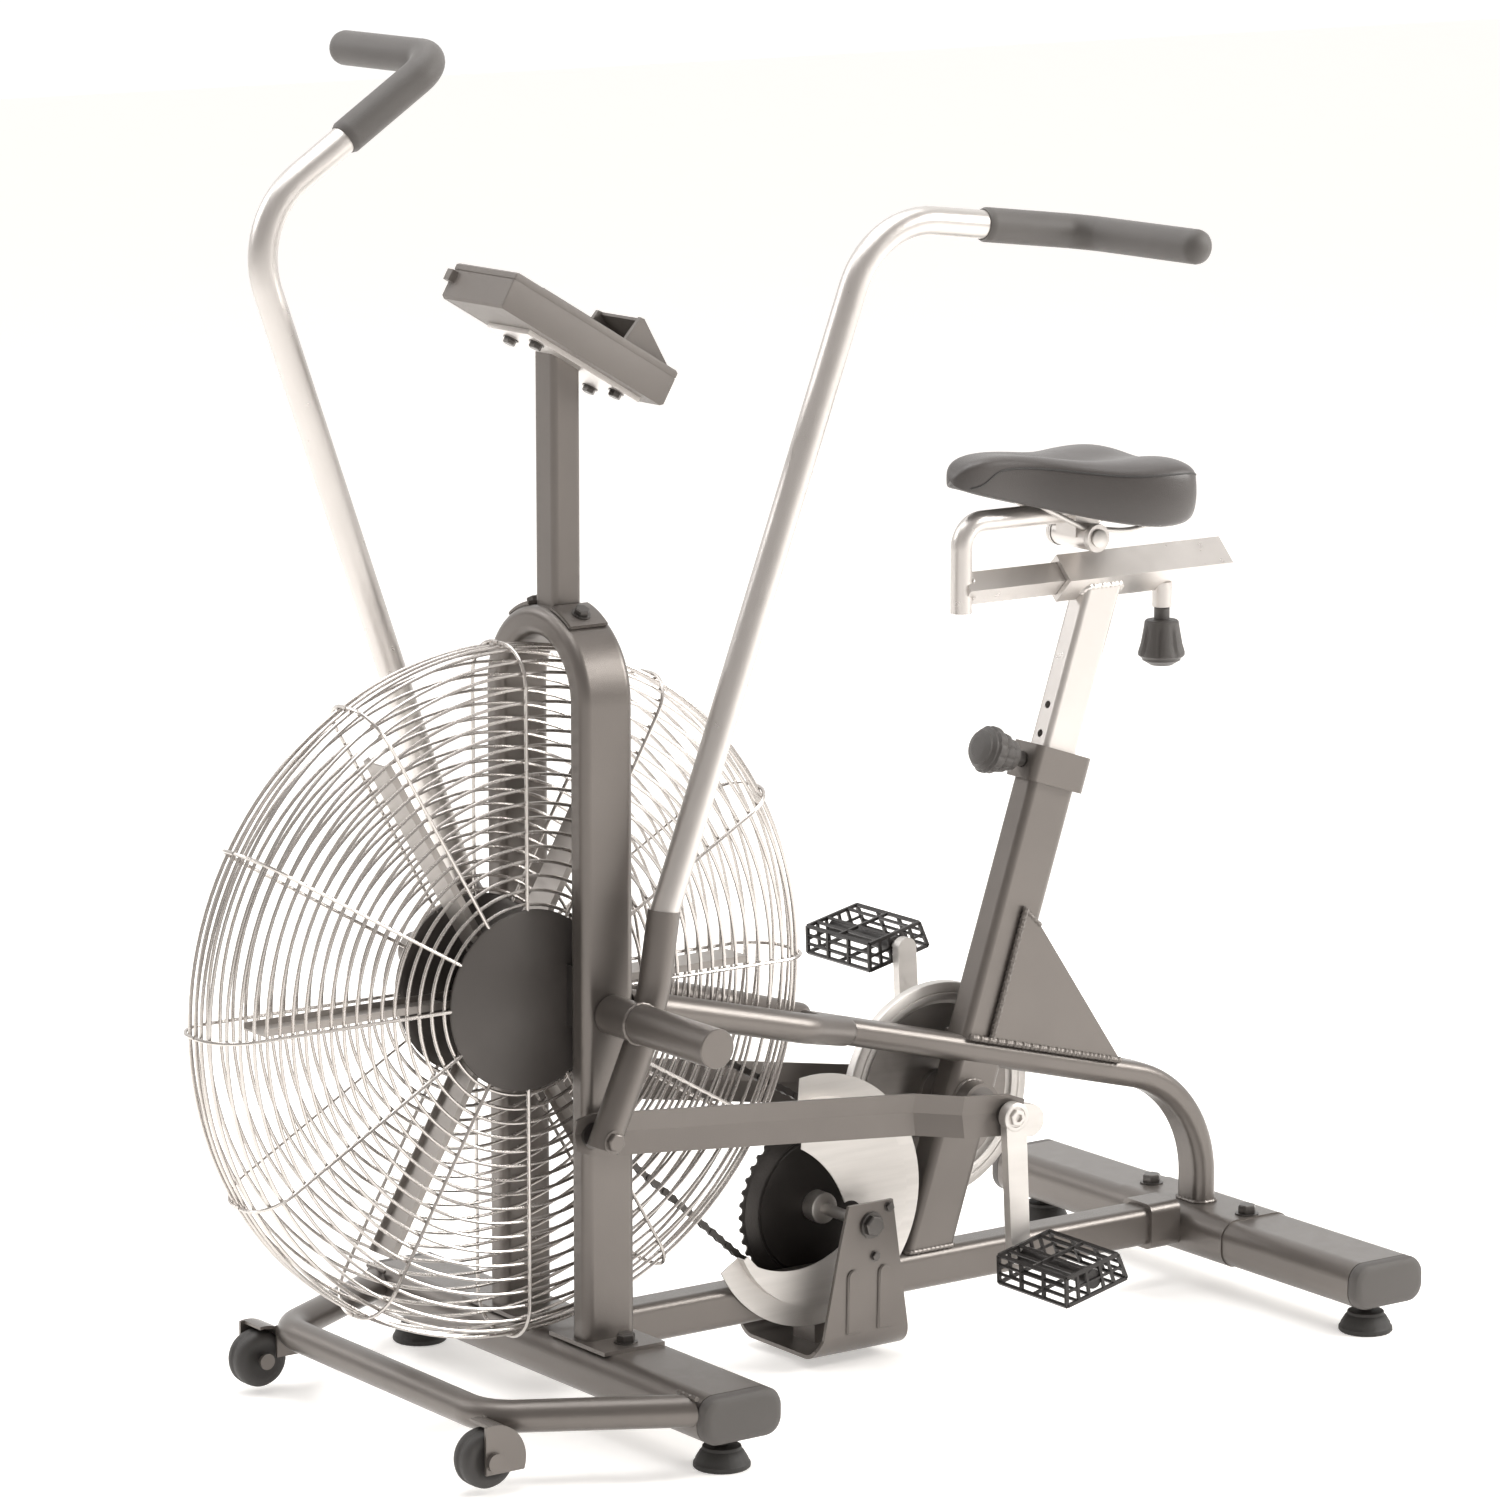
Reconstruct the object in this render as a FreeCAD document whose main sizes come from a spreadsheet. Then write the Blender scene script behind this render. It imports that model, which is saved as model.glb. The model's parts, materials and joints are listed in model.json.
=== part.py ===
"""Air bike: a fan exercise bike with swinging handle arms.

X runs from the fan (front, -X) to the saddle (rear, +X), Y across, Z up; the floor is Z = 0.
The rider's left is -Y. Lengths are millimetres. Every size comes from the sheet "dims".
"""
import FreeCAD, Part
import Sketcher
import math
import os
import re
from FreeCAD import Placement, Rotation, Vector

DIMENSIONS = {
    # base
    "foot_radius": 27.5, "foot_top_radius": 18.5, "foot_height": 22, "stem_radius": 6,
    "front_foot_x": -217, "rear_foot_x": 581.5, "foot_reach": 264,
    "stabiliser_wide": 90, "stabiliser_high": 47, "stabiliser_floor": 33, "stabiliser_corner": 18,
    "stabiliser_long": 574, "cap_long": 14, "tube_wall": 2.5,
    "rail_side": 40, "rail_corner": 9, "rail_floor": 47, "socket_side": 48, "socket_long": 38,
    "sleeve_wide": 93, "sleeve_high": 50, "sleeve_long": 180, "sleeve_corner": 20,
    # bumper and transport wheels
    "bumper_radius": 15.5, "bumper_height": 64, "bumper_front": -426, "bumper_half": 180,
    "bumper_root_half": 272, "bumper_bend": 50,
    "wheel_radius": 28, "wheel_wide": 27, "wheel_axle_radius": 5, "wheel_front": -444,
    "wheel_half": 203, "wheel_height": 34, "fender_gap": 4, "sheet": 3,
    # front uprights and console post
    "upright_long": 58, "upright_wide": 28, "upright_corner": 9, "upright_half": 72,
    "upright_front": -220.5, "upright_foot": 84, "arch_height": 701,
    "plate_long": 70, "plate_wide": 95, "plate_thick": 4,
    "post_long": 32, "post_wide": 34, "post_corner": 6, "post_front": -220,
    "post_blank_high": 320,
    # console
    "console_long": 211, "console_wide": 104, "console_thick": 37, "console_corner": 1.5,
    "console_tilt": 30.4, "console_x": -216.1, "console_z": 1043.6,
    "bracket_long": 145, "bracket_wide": 70, "bracket_thick": 5,
    "ledge_wide": 76, "ledge_high": 29, "display_along": -20, "button_along": 34, "bracket_along": 17,
    "display_long": 84, "display_wide": 78,
    "recess_deep": 4, "display_thick": 3,
    "button_radius": 6, "button_high": 5, "button_travel": 1.5, "button_gap": 0.05,
    # fan and its cage
    "fan_x": -288, "fan_z": 418, "cage_radius": 340, "cage_face": 46, "cage_bend": 38,
    "wire_radius": 1.75, "cage_hub_radius": 88, "hub_cap_thick": 5,
    "spoke_split": 300, "axle_radius": 6, "axle_half": 48.5, "hub_radius": 24, "hub_half": 21,
    "blade_radius": 275, "blade_wide": 38, "blade_thick": 3, "running_gap": 0.05,
    "carrier_long": 10, "tool_long": 80, "fan_sprocket_radius": 34, "sprocket_thick": 3, "fan_chain_y": 26,
    # jackshaft
    "jack_x": 101, "jack_z": 142.5, "jack_radius": 6, "jack_half": 78,
    "jack_large_radius": 85, "jack_small_radius": 27.5, "jack_hub_radius": 16,
    "jack_hub_long": 20, "jack_window_radius": 13, "jack_window_ring": 55,
    "guard_radius": 105, "guard_flange": 128, "shaft_way_radius": 17, "guard_near": 22, "guard_far": 34,
    "guard_x": 67, "guard_z": 163, "guard_sheet": 1.5,
    "jack_bracket_half": 70, "jack_bracket_sheet": 4, "jack_bracket_floor": 10,
    # crank set
    "crank_x": 265, "crank_z": 234.3, "shell_radius": 22, "shell_half": 35, "spindle_radius": 8.5,
    "crank_chain_y": 52, "chainring_radius": 88, "boss_long": 16,
    "chainring_window_ring": 56, "chainring_window_radius": 15, "chain_half": 4.2, "chain_wide": 7,
    "crank_disc_radius": 113, "crank_disc_y": 43, "pin_throw": 39.65, "pin_lead": 160,
    "pedal_throw": 130.6, "pedal_lead": 256.8, "web_near": 106, "web_thick": 10,
    "crank_near": 130, "crank_thick": 10, "crank_wide": 23, "crank_pin_radius": 7,
    "pedal_near": 146, "pedal_long": 80, "pedal_wide": 113, "pedal_thick": 31, "pedal_tilt": 13,
    "pedal_axle": 6, "crank_boss_radius": 14.6,
    # rods and swinging arms
    "rod_length": 480.1, "rod_high": 42, "rod_thick": 9, "rod_front_y": 98, "rod_rear_y": 123,
    "rod_kink": 97, "rod_jog": 42, "rod_drop_left": 111, "rod_drop_right": 103.9,
    "arm_x": -220.5, "arm_z": 403, "arm_half": 121, "arm_swing": 20.15, "arm_radius": 14,
    "arm_sleeve_radius": 15.8, "arm_hub_radius": 19, "arm_stub_radius": 11, "arm_bolt_radius": 10,
    "handle_bend": 90, "handle_sharp_bend": 32, "handle_reach": 284, "grip_radius": 17,
    "peg_far": 263,
    # seat tube, upper tube and yoke
    "seat_tube_long": 58, "seat_tube_wide": 34, "seat_tube_corner": 8, "seat_lean": 18.4,
    "seat_foot_x": 215.5, "seat_foot_z": 85, "seat_tube_top": 580,
    "collar_long": 72, "collar_wide": 46, "collar_high": 35,
    "upper_wide": 40, "upper_high": 27, "upper_corner": 10.5, "upper_start_x": 75, "upper_bend": 125,
    "upper_leg_x": 576, "upper_slope": 0.2594, "upper_ref_x": 228.3, "upper_ref_z": 296,
    "yoke_radius": 15,
    # seat post, slider and saddle
    "seat_post_long": 44, "seat_post_wide": 28, "seat_post_length": 350, "seat_post_hole": 4,
    "slider_side": 34, "slider_inner": 24, "slider_z": 755.5, "slider_front": 382,
    "slider_rear": 594, "carriage_side": 23.4, "carriage_front": 262, "carriage_rear": 560,
    "stem_tube_radius": 10.75, "stem_tube_top": 822, "stem_tube_bend": 25, "stem_tube_end": 452,
    "stem_clear": 20, "saddle_bottom": 836, "knob_neck": 8, "knob_radius": 24.5, "knob_front_x": 340.6,
    "knob_front_z": 575, "knob_long": 60, "fore_knob_x": 520, "slide_boss_drop": 17.5,
}

doc = FreeCAD.newDocument("air_bike")
sheet = doc.addObject("Spreadsheet::Sheet", "dims")
for row, (alias, amount) in enumerate(DIMENSIONS.items(), 1):
    sheet.set(f"A{row}", alias)
    sheet.set(f"B{row}", str(amount))
    sheet.setAlias(f"B{row}", alias)
doc.recompute()

ALONG_X, ALONG_Y, ALONG_Z = Vector(1, 0, 0), Vector(0, 1, 0), Vector(0, 0, 1)
LEFT, RIGHT = -1, 1
SIDES = {"left": LEFT, "right": RIGHT}
TURN_TO_Y = Rotation(Vector(1, 0, 0), -90)      # a piece made along Z then lies along Y
TURN_TO_X = Rotation(Vector(0, 1, 0), 90)       # a piece made along Z then lies along X
nodes = {}


def dim(alias):
    return float(sheet.get(alias))


def bind(part, **sizes):
    """Tie each named property to a formula written with the sheet's aliases."""
    for name, formula in sizes.items():
        part.setExpression(name, re.sub(r"[a-z_]+", r"dims.\g<0>", formula))


def node(part, label):
    part.Label = label
    nodes[label] = part
    return part


# ---------------------------------------------------------------- building blocks

def place(part, x, y, z, turn=None):
    part.Placement = Placement(Vector(x, y, z), turn or Rotation())
    return part


def cylinder(name, radius, length, start, along=ALONG_Y):
    part = doc.addObject("Part::Cylinder", name)
    bind(part, Radius=radius, Height=length)
    part.Placement = Placement(Vector(*start), Rotation(ALONG_Z, along))
    return part


def block(name, long, wide, high, centre, turn=None):
    """A box with its centre at the given point, turned about that centre."""
    part = doc.addObject("Part::Box", name)
    bind(part, Length=long, Width=wide, Height=high)
    part.recompute()
    turn = turn or Rotation()
    half = Vector(part.Length.Value, part.Width.Value, part.Height.Value) / 2
    part.Placement = Placement(Vector(*centre) - turn.multVec(half), turn)
    return part


def cut(name, base, tool):
    part = doc.addObject("Part::Cut", name)
    part.Base = base
    part.Tool = tool
    return part


def fuse(name, pieces):
    part = doc.addObject("Part::MultiFuse", name)
    part.Shapes = pieces
    return part


def group(name, pieces):
    """Separate solids that share one node, such as identical fasteners."""
    part = doc.addObject("Part::Compound", name)
    part.Links = pieces
    return part


def shaped(name, shape):
    part = doc.addObject("Part::Feature", name)
    part.Shape = shape
    return part


def rectangle(body, name, wide, deep):
    """A centred rectangle on the body's XY plane with both sides tied to the sheet."""
    sketch = body.newObject("Sketcher::SketchObject", name)
    plane = next(f for f in body.Origin.OriginFeatures if f.Role == "XY_Plane")
    sketch.AttachmentSupport = [(plane, "")]
    sketch.MapMode = "FlatFace"
    corners = [Vector(-5, -5), Vector(5, -5), Vector(5, 5), Vector(-5, 5)]
    for i in range(4):
        sketch.addGeometry(Part.LineSegment(corners[i], corners[(i + 1) % 4]), False)
    for i in range(4):
        sketch.addConstraint(Sketcher.Constraint("Coincident", i, 2, (i + 1) % 4, 1))
        sketch.addConstraint(Sketcher.Constraint("Vertical" if i % 2 else "Horizontal", i))
    sketch.addConstraint(Sketcher.Constraint("Symmetric", 0, 1, 1, 2, -1, 1))
    width = sketch.addConstraint(Sketcher.Constraint("DistanceX", 0, 1, 0, 2, 10))
    depth = sketch.addConstraint(Sketcher.Constraint("DistanceY", 1, 1, 1, 2, 10))
    sketch.renameConstraint(width, "width")
    sketch.renameConstraint(depth, "depth")
    bind(sketch, **{"Constraints.width": wide, "Constraints.depth": deep})
    return sketch


def bar(name, wide, deep, length, corner, bore=None):
    """A straight bar along Z with rounded long edges; bore=(wide, deep, corner) makes it a tube."""
    body = doc.addObject("PartDesign::Body", name)
    pad = body.newObject("PartDesign::Pad", name + "_pad")
    pad.Profile = rectangle(body, name + "_section", wide, deep)
    bind(pad, Length=length)
    solid = pad
    if bore:
        solid = body.newObject("PartDesign::Pocket", name + "_bore")
        solid.Profile = rectangle(body, name + "_bore_section", *bore[:2])
        solid.Type = "ThroughAll"
        solid.Reversed = True
        body.Tip = solid
    doc.recompute()
    reach = solid.Shape.BoundBox.XMax - 0.01
    long_edges = {"outer": [], "inner": []}
    for i, edge in enumerate(solid.Shape.Edges, 1):
        if edge.tangentAt(edge.FirstParameter).isParallel(ALONG_Z, 1e-6):
            where = "outer" if abs(edge.CenterOfMass.x) > reach else "inner"
            long_edges[where].append(f"Edge{i}")
    solid = round_edges(body, solid, name + "_rounding", long_edges["outer"], corner)
    if bore:
        doc.recompute()
        inner = [f"Edge{i}" for i, edge in enumerate(solid.Shape.Edges, 1)
                 if edge.tangentAt(edge.FirstParameter).isParallel(ALONG_Z, 1e-6)
                 and is_bore_corner(edge.CenterOfMass, body.Document.getObject(name + "_bore_section"))]
        round_edges(body, solid, name + "_bore_rounding", inner, bore[2])
    return body


def round_edges(body, base, name, edges, radius):
    rounding = body.newObject("PartDesign::Fillet", name)
    rounding.Base = (base, edges)
    bind(rounding, Radius=radius)
    body.Tip = rounding
    return rounding


def is_bore_corner(point, section):
    return any(math.hypot(point.x - corner.Point.x, point.y - corner.Point.y) < 0.01
               for corner in section.Shape.Vertexes)


def hex_bolt(name, x, y, z, turn=None, across=17, high=8):
    """A hexagonal bolt head standing on its washer face."""
    prism = doc.addObject("Part::Prism", name)
    prism.Polygon = 6
    prism.Circumradius = across / math.sqrt(3)
    prism.Height = high
    return place(prism, x, y, z, turn)


def rounded_rectangle(wide, deep, corner):
    """Closed wire in the XY plane, centred."""
    a, b = wide / 2, deep / 2
    quarter = corner * (1 - math.sqrt(0.5))
    edges = []
    for sx, sy in ((1, 1), (-1, 1), (-1, -1), (1, -1)):
        first = Vector(sx * a, sy * (b - corner))
        last = Vector(sx * (a - corner), sy * b)
        if sx * sy < 0:
            first, last = last, first
        middle = Vector(sx * (a - quarter), sy * (b - quarter))
        if edges:
            edges.append(Part.LineSegment(edges[-1].valueAt(edges[-1].LastParameter), first).toShape())
        edges.append(Part.Arc(first, middle, last).toShape())
    start = edges[0].valueAt(edges[0].FirstParameter)
    edges.append(Part.LineSegment(edges[-1].valueAt(edges[-1].LastParameter), start).toShape())
    return Part.Wire(edges)


def bent_path(points, bends):
    """Straight runs through the points, joined by tangent arcs of the given radii."""
    edges = []
    start = points[0]
    for i, radius in enumerate(bends, 1):
        into = (points[i] - points[i - 1]).normalize()
        out = (points[i + 1] - points[i]).normalize()
        half_turn = into.getAngle(out) / 2
        first = points[i] - into * (radius * math.tan(half_turn))
        last = points[i] + out * (radius * math.tan(half_turn))
        inward = (out - into).normalize()
        middle = points[i] + inward * (radius / math.cos(half_turn) - radius)
        edges.append(Part.LineSegment(start, first).toShape())
        edges.append(Part.Arc(first, middle, last).toShape())
        start = last
    edges.append(Part.LineSegment(start, points[-1]).toShape())
    return Part.Wire(edges)


def swept(path, section, across=ALONG_Y):
    """Sweep a wire drawn in the XY plane along the path; its X axis keeps to 'across'."""
    first = path.OrderedEdges[0]
    start = first.valueAt(first.FirstParameter)
    heading = first.tangentAt(first.FirstParameter)
    section = section.copy()
    section.Placement = Placement(start, Rotation(across, heading.cross(across), heading, "ZXY"))
    return path.makePipeShell([section], True, False)


def circle(radius):
    return Part.Wire([Part.makeCircle(radius)])


def round_tube(points, bends, radius, wall=None, across=ALONG_Y):
    path = bent_path(points, bends)
    solid = swept(path, circle(radius), across)
    if wall:
        solid = solid.cut(swept(path, circle(radius - wall), across))
    return solid


def plate(outline, y, thick):
    """A flat plate from an (x, z) outline, its near face at y."""
    points = [Vector(x, y, z) for x, z in outline]
    return Part.Face(Part.makePolygon(points + points[:1])).extrude(Vector(0, thick, 0))


def hull_of_discs(centre_a, radius_a, centre_b, radius_b, y, thick):
    """Two discs in an XZ plane and the wedge between their outer tangents."""
    dx, dz = centre_b[0] - centre_a[0], centre_b[1] - centre_a[1]
    heading = math.atan2(dz, dx)
    spread = math.acos((radius_a - radius_b) / math.hypot(dx, dz))
    corners = []
    for (x, z), radius, signs in ((centre_a, radius_a, (-1, 1)), (centre_b, radius_b, (1, -1))):
        for sign in signs:
            angle = heading + sign * spread
            corners.append((x + radius * math.cos(angle), z + radius * math.sin(angle)))
    solid = plate(corners, y, thick)
    for (x, z), radius in ((centre_a, radius_a), (centre_b, radius_b)):
        solid = solid.fuse(Part.makeCylinder(radius, thick, Vector(x, y, z), ALONG_Y))
    return solid.removeSplitter()


def between(side, near, thick):
    """Lowest y of a layer that starts 'near' from the middle plane on the given side."""
    return near if side > 0 else -near - thick


def box_between(low, high):
    size = [b - a for a, b in zip(low, high)]
    return Part.makeBox(*size, Vector(*low))


# ---------------------------------------------------------------- base frame

STABILISER_TOP = dim("stabiliser_floor") + dim("stabiliser_high")
STABILISER_MID = STABILISER_TOP - dim("stabiliser_high") / 2
FOOT_PLACES = [(dim(x), side * dim("foot_reach")) for x in ("front_foot_x", "rear_foot_x")
               for side in (LEFT, RIGHT)]


def stabiliser(label, x):
    wall = "tube_wall"
    beam = bar(label, "stabiliser_high", "stabiliser_wide", "stabiliser_long", "stabiliser_corner",
               (f"stabiliser_high - 2 * {wall}", f"stabiliser_wide - 2 * {wall}",
                f"stabiliser_corner - {wall}"))
    turn = Rotation(Vector(0, 0, -1), Vector(1, 0, 0), ALONG_Y, "ZXY")
    place(beam, x, -dim("stabiliser_long") / 2, STABILISER_MID, turn)
    node(beam, label)


def end_caps():
    caps = []
    for x in (dim("front_foot_x"), dim("rear_foot_x")):
        for side in (LEFT, RIGHT):
            cap = bar(f"cap_{len(caps)}", "stabiliser_high", "stabiliser_wide", "cap_long",
                      "stabiliser_corner")
            start = side * dim("stabiliser_long") / 2 - (dim("cap_long") if side < 0 else 0)
            turn = Rotation(Vector(0, 0, -1), Vector(1, 0, 0), ALONG_Y, "ZXY")
            caps.append(place(cap, x, start, STABILISER_MID, turn))
    node(group("stabiliser_end_caps", caps), "stabiliser_end_caps")


def levelling_feet():
    feet = []
    for i, (x, y) in enumerate(FOOT_PLACES):
        pad = doc.addObject("Part::Cone", f"foot_pad_{i}")
        bind(pad, Radius1="foot_radius", Radius2="foot_top_radius", Height="foot_height")
        place(pad, x, y, 0)
        stem = cylinder(f"foot_stem_{i}", "stem_radius", "stabiliser_floor - foot_height",
                        (x, y, dim("foot_height")), ALONG_Z)
        feet.append(fuse(f"foot_{i}", [pad, stem]))
    node(group("levelling_feet", feet), "levelling_feet")


def rail_and_sleeve():
    front = dim("front_foot_x") + dim("stabiliser_wide") / 2
    sleeve_front = dim("rear_foot_x") - dim("sleeve_wide") / 2
    rail_long = "rear_foot_x - sleeve_wide / 2 - front_foot_x - stabiliser_wide / 2"
    height = dim("rail_floor") + dim("rail_side") / 2
    bore = "rail_side - 2 * tube_wall"
    rail = bar("base_rail", "rail_side", "rail_side", rail_long, "rail_corner",
               (bore, bore, "rail_corner - tube_wall"))
    node(place(rail, front, 0, height, TURN_TO_X), "base_rail")
    socket = bar("rail_socket", "socket_side", "socket_side", "socket_long", "rail_corner",
                 ("rail_side", "rail_side", "rail_corner"))
    place(socket, sleeve_front - dim("socket_long"), 0, height, TURN_TO_X)
    sleeve = bar("sleeve_shell", "sleeve_high", "sleeve_wide", "sleeve_long", "sleeve_corner",
                 ("stabiliser_high", "stabiliser_wide", "stabiliser_corner"))
    turn = Rotation(Vector(0, 0, -1), Vector(1, 0, 0), ALONG_Y, "ZXY")
    place(sleeve, dim("rear_foot_x"), -dim("sleeve_long") / 2, STABILISER_MID, turn)
    node(group("rear_sleeve", [socket, sleeve]), "rear_sleeve")


def bumper_and_wheels():
    high = dim("bumper_height")
    root_x = dim("front_foot_x") - dim("stabiliser_wide") / 2
    slope = ((dim("bumper_root_half") - dim("bumper_half")) / (root_x - dim("bumper_front")))
    end_half = dim("bumper_root_half") + 30 * slope
    corners = [Vector(root_x + 30, -end_half, high), Vector(dim("bumper_front"), -dim("bumper_half"), high),
               Vector(dim("bumper_front"), dim("bumper_half"), high), Vector(root_x + 30, end_half, high)]
    bend = dim("bumper_bend")
    radius = dim("bumper_radius")
    tube = round_tube(corners, [bend, bend], radius, dim("tube_wall"), ALONG_Z)
    behind = box_between((root_x, -400, 0), (root_x + 200, 400, 150))
    node(shaped("front_bumper", tube.cut(behind)), "front_bumper")
    solid_tube = round_tube(corners, [bend, bend], radius, None, ALONG_Z)
    fenders = []
    for name, side in SIDES.items():
        x, z = dim("wheel_front"), dim("wheel_height")
        wide = dim("wheel_wide")
        wheel = cylinder(f"wheel_{name}_blank", "wheel_radius", "wheel_wide",
                         (x, side * dim("wheel_half") - wide / 2, z))
        rounding = doc.addObject("Part::Fillet", f"wheel_{name}_tread")
        rounding.Base = wheel
        doc.recompute()
        rounding.Edges = [(i, 6, 6) for i, edge in enumerate(wheel.Shape.Edges, 1)
                          if isinstance(edge.Curve, Part.Circle)]
        bore = cylinder(f"wheel_{name}_bore", "wheel_axle_radius + running_gap", "wheel_wide + 2",
                        (x, side * dim("wheel_half") - wide / 2 - 1, z))
        node(cut(f"wheel_{name}", rounding, bore), f"wheel_{name}")
        fenders.append(fender(side).cut(solid_tube))
    node(shaped("wheel_fenders", Part.makeCompound(fenders)), "wheel_fenders")


def fender(side):
    """A curved sheet over the wheel with a cheek outside it that carries the axle."""
    x, z, half = dim("wheel_front"), dim("wheel_height"), dim("wheel_half")
    inner = dim("wheel_radius") + dim("fender_gap")
    outer = inner + dim("sheet")
    near = half - dim("wheel_wide") / 2 - 2
    far = half + dim("wheel_wide") / 2 + 2
    start = Vector(x, near, z)
    shell = Part.makeCylinder(outer, far - near, start, ALONG_Y).cut(
        Part.makeCylinder(inner, far - near, start, ALONG_Y))
    shell = shell.common(box_between((x - 5, near, z + 2), (x + 60, far, z + 60)))
    cheek = Part.makeCylinder(outer, dim("sheet"), Vector(x, far, z), ALONG_Y).common(
        box_between((x - 9, far, z - 12), (x + 60, far + 9, z + 60)))
    web = box_between((x + 12, near - dim("sheet"), z + 2), (x + 42, near, z + 34))
    axle = Part.makeCylinder(dim("wheel_axle_radius"), far - near + 2, Vector(x, near - 2, z), ALONG_Y)
    head = Part.makeCylinder(9, 5, Vector(x, far + dim("sheet"), z), ALONG_Y)
    inner_head = Part.makeCylinder(8, 3, Vector(x, near - 5, z), ALONG_Y)
    solid = shell.fuse([cheek, web, axle, head, inner_head]).removeSplitter()
    return solid.mirror(Vector(), ALONG_Y) if side < 0 else solid


# ---------------------------------------------------------------- uprights, arch, post

def uprights():
    x = dim("upright_front")
    for name, side in SIDES.items():
        tube = bar(f"upright_{name}", "upright_long", "upright_wide",
                   "arch_height - upright_foot",
                   "upright_corner", ("upright_long - 2 * tube_wall", "upright_wide - 2 * tube_wall",
                                      "upright_corner - tube_wall"))
        place(tube, x, side * dim("upright_half"), dim("upright_foot"))
        node(tube, f"upright_{name}")
    section = rounded_rectangle(dim("upright_long"), dim("upright_wide"), dim("upright_corner"))
    inner = rounded_rectangle(dim("upright_long") - 5, dim("upright_wide") - 5,
                              dim("upright_corner") - dim("tube_wall"))
    arch = []
    for wire in (section, inner):
        face = Part.Face(wire)
        face.translate(Vector(x, dim("upright_half"), dim("arch_height")))
        arch.append(face.revolve(Vector(x, 0, dim("arch_height")), Vector(1, 0, 0), 180))
    node(shaped("upright_arch", arch[0].cut(arch[1])), "upright_arch")


def base_plates():
    plates = []
    for name, side in SIDES.items():
        plates.append(block(f"base_plate_{name}", "plate_long", "plate_wide", "plate_thick",
                            (dim("upright_front"), side * 77.5, STABILISER_TOP + dim("plate_thick") / 2)))
    node(group("upright_base_plates", plates), "upright_base_plates")


def console_post():
    arch_top = dim("arch_height") + dim("upright_half") + dim("upright_wide") / 2
    face = rounded_rectangle(dim("post_long"), dim("post_wide"), dim("post_corner"))
    bore = rounded_rectangle(dim("post_long") - 5, dim("post_wide") - 5, dim("post_corner") - 2.5)
    tall = dim("post_blank_high")
    post = Part.Face(face).extrude(Vector(0, 0, tall)).cut(Part.Face(bore).extrude(Vector(0, 0, tall)))
    post.translate(Vector(dim("post_front"), 0, arch_top - 40))
    x = dim("upright_front")
    arch = Part.makeCylinder(dim("upright_half") + dim("upright_wide") / 2, 200,
                             Vector(x - 100, 0, dim("arch_height")), ALONG_X)
    above = Part.makeBox(600, 400, 400)
    above.Placement = console_frame(-dim("console_thick") / 2 - dim("bracket_thick")).multiply(
        Placement(Vector(-300, -200, 0), Rotation()))
    node(shaped("console_post", post.cut(arch).cut(above)), "console_post")


def console_frame(height, along=0):
    """Placement on the console: Z up its thickness, X down its slope towards the rider."""
    turn = Rotation(ALONG_Y, dim("console_tilt"))
    centre = Vector(dim("console_x"), 0, dim("console_z"))
    return Placement(centre + turn.multVec(Vector(along, 0, height)), turn)


def console():
    thick = dim("console_thick")
    turn = Rotation(ALONG_Y, dim("console_tilt"))
    bracket_at = console_frame(-(thick + dim("bracket_thick")) / 2, dim("bracket_along")).Base
    bracket = block("console_bracket", "bracket_long", "bracket_wide", "bracket_thick",
                    tuple(bracket_at), turn)
    screws = []
    for i, (along, across) in enumerate(((-34, -22), (-34, 22), (70, -22), (70, 22))):
        spot = console_frame(-thick / 2 - dim("bracket_thick"), along)
        spot.Base = spot.Base + Vector(0, across, 0)
        screws.append(hex_bolt(f"console_screw_{i}", *spot.Base,
                               turn.multiply(Rotation(ALONG_X, 180)), 8, 3))
    node(group("console_bracket_group", [bracket] + screws), "console_bracket")
    shell = bar("console_shell", "console_long", "console_wide", "console_thick", "console_corner")
    place(shell, *console_frame(-thick / 2).Base, turn)
    recess = block("display_recess", "display_long", "display_wide", "recess_deep",
                   tuple(console_frame(thick / 2 - 2 + 0.001, dim("display_along")).Base), turn)
    wells = []
    for i, across in enumerate((-24, 24)):
        spot = console_frame(thick / 2 - 4, dim("button_along")).Base + Vector(0, across, 0)
        wells.append(cylinder(f"button_well_{i}", "button_radius + button_gap", "button_high + 6",
                              tuple(spot), turn.multVec(ALONG_Z)))
    housing = cut("console_box", shell, fuse("console_recesses", [recess] + wells))
    ledge = shaped("console_ledge", ledge_shape(turn))
    node(group("console_housing", [housing, ledge]), "console_housing")
    display = block("console_display", "display_long", "display_wide", "display_thick",
                    tuple(console_frame(thick / 2 - 2.48, dim("display_along")).Base), turn)
    node(display, "console_display")
    for name, across in (("start", -24), ("stop", 24)):
        height = thick / 2 - 4 + dim("button_travel") + 0.3
        spot = console_frame(height, dim("button_along")).Base + Vector(0, across, 0)
        button = cylinder(f"button_{name}", "button_radius", "button_high", tuple(spot),
                          turn.multVec(ALONG_Z))
        node(button, f"button_{name}")


def ledge_shape(turn):
    """The raised wedge at the low end of the console that a tablet leans against."""
    thick, long_side = dim("console_thick"), dim("console_long")
    low = long_side / 2
    outline = [(low - 62, 0), (low - 56, dim("ledge_high")), (low - 52, dim("ledge_high")), (low - 1, 0)]
    wide = dim("ledge_wide")
    wedge = plate(outline, -wide / 2, wide)
    hollow = plate([(low - 64, 5), (low - 63, dim("ledge_high") - 4), (low - 52, dim("ledge_high") - 4),
                    (low - 24, 5)], -wide / 2 + 5, wide - 10)
    wedge = wedge.cut(hollow)
    wedge.Placement = console_frame(thick / 2)
    return wedge


# ---------------------------------------------------------------- fan cage

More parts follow.
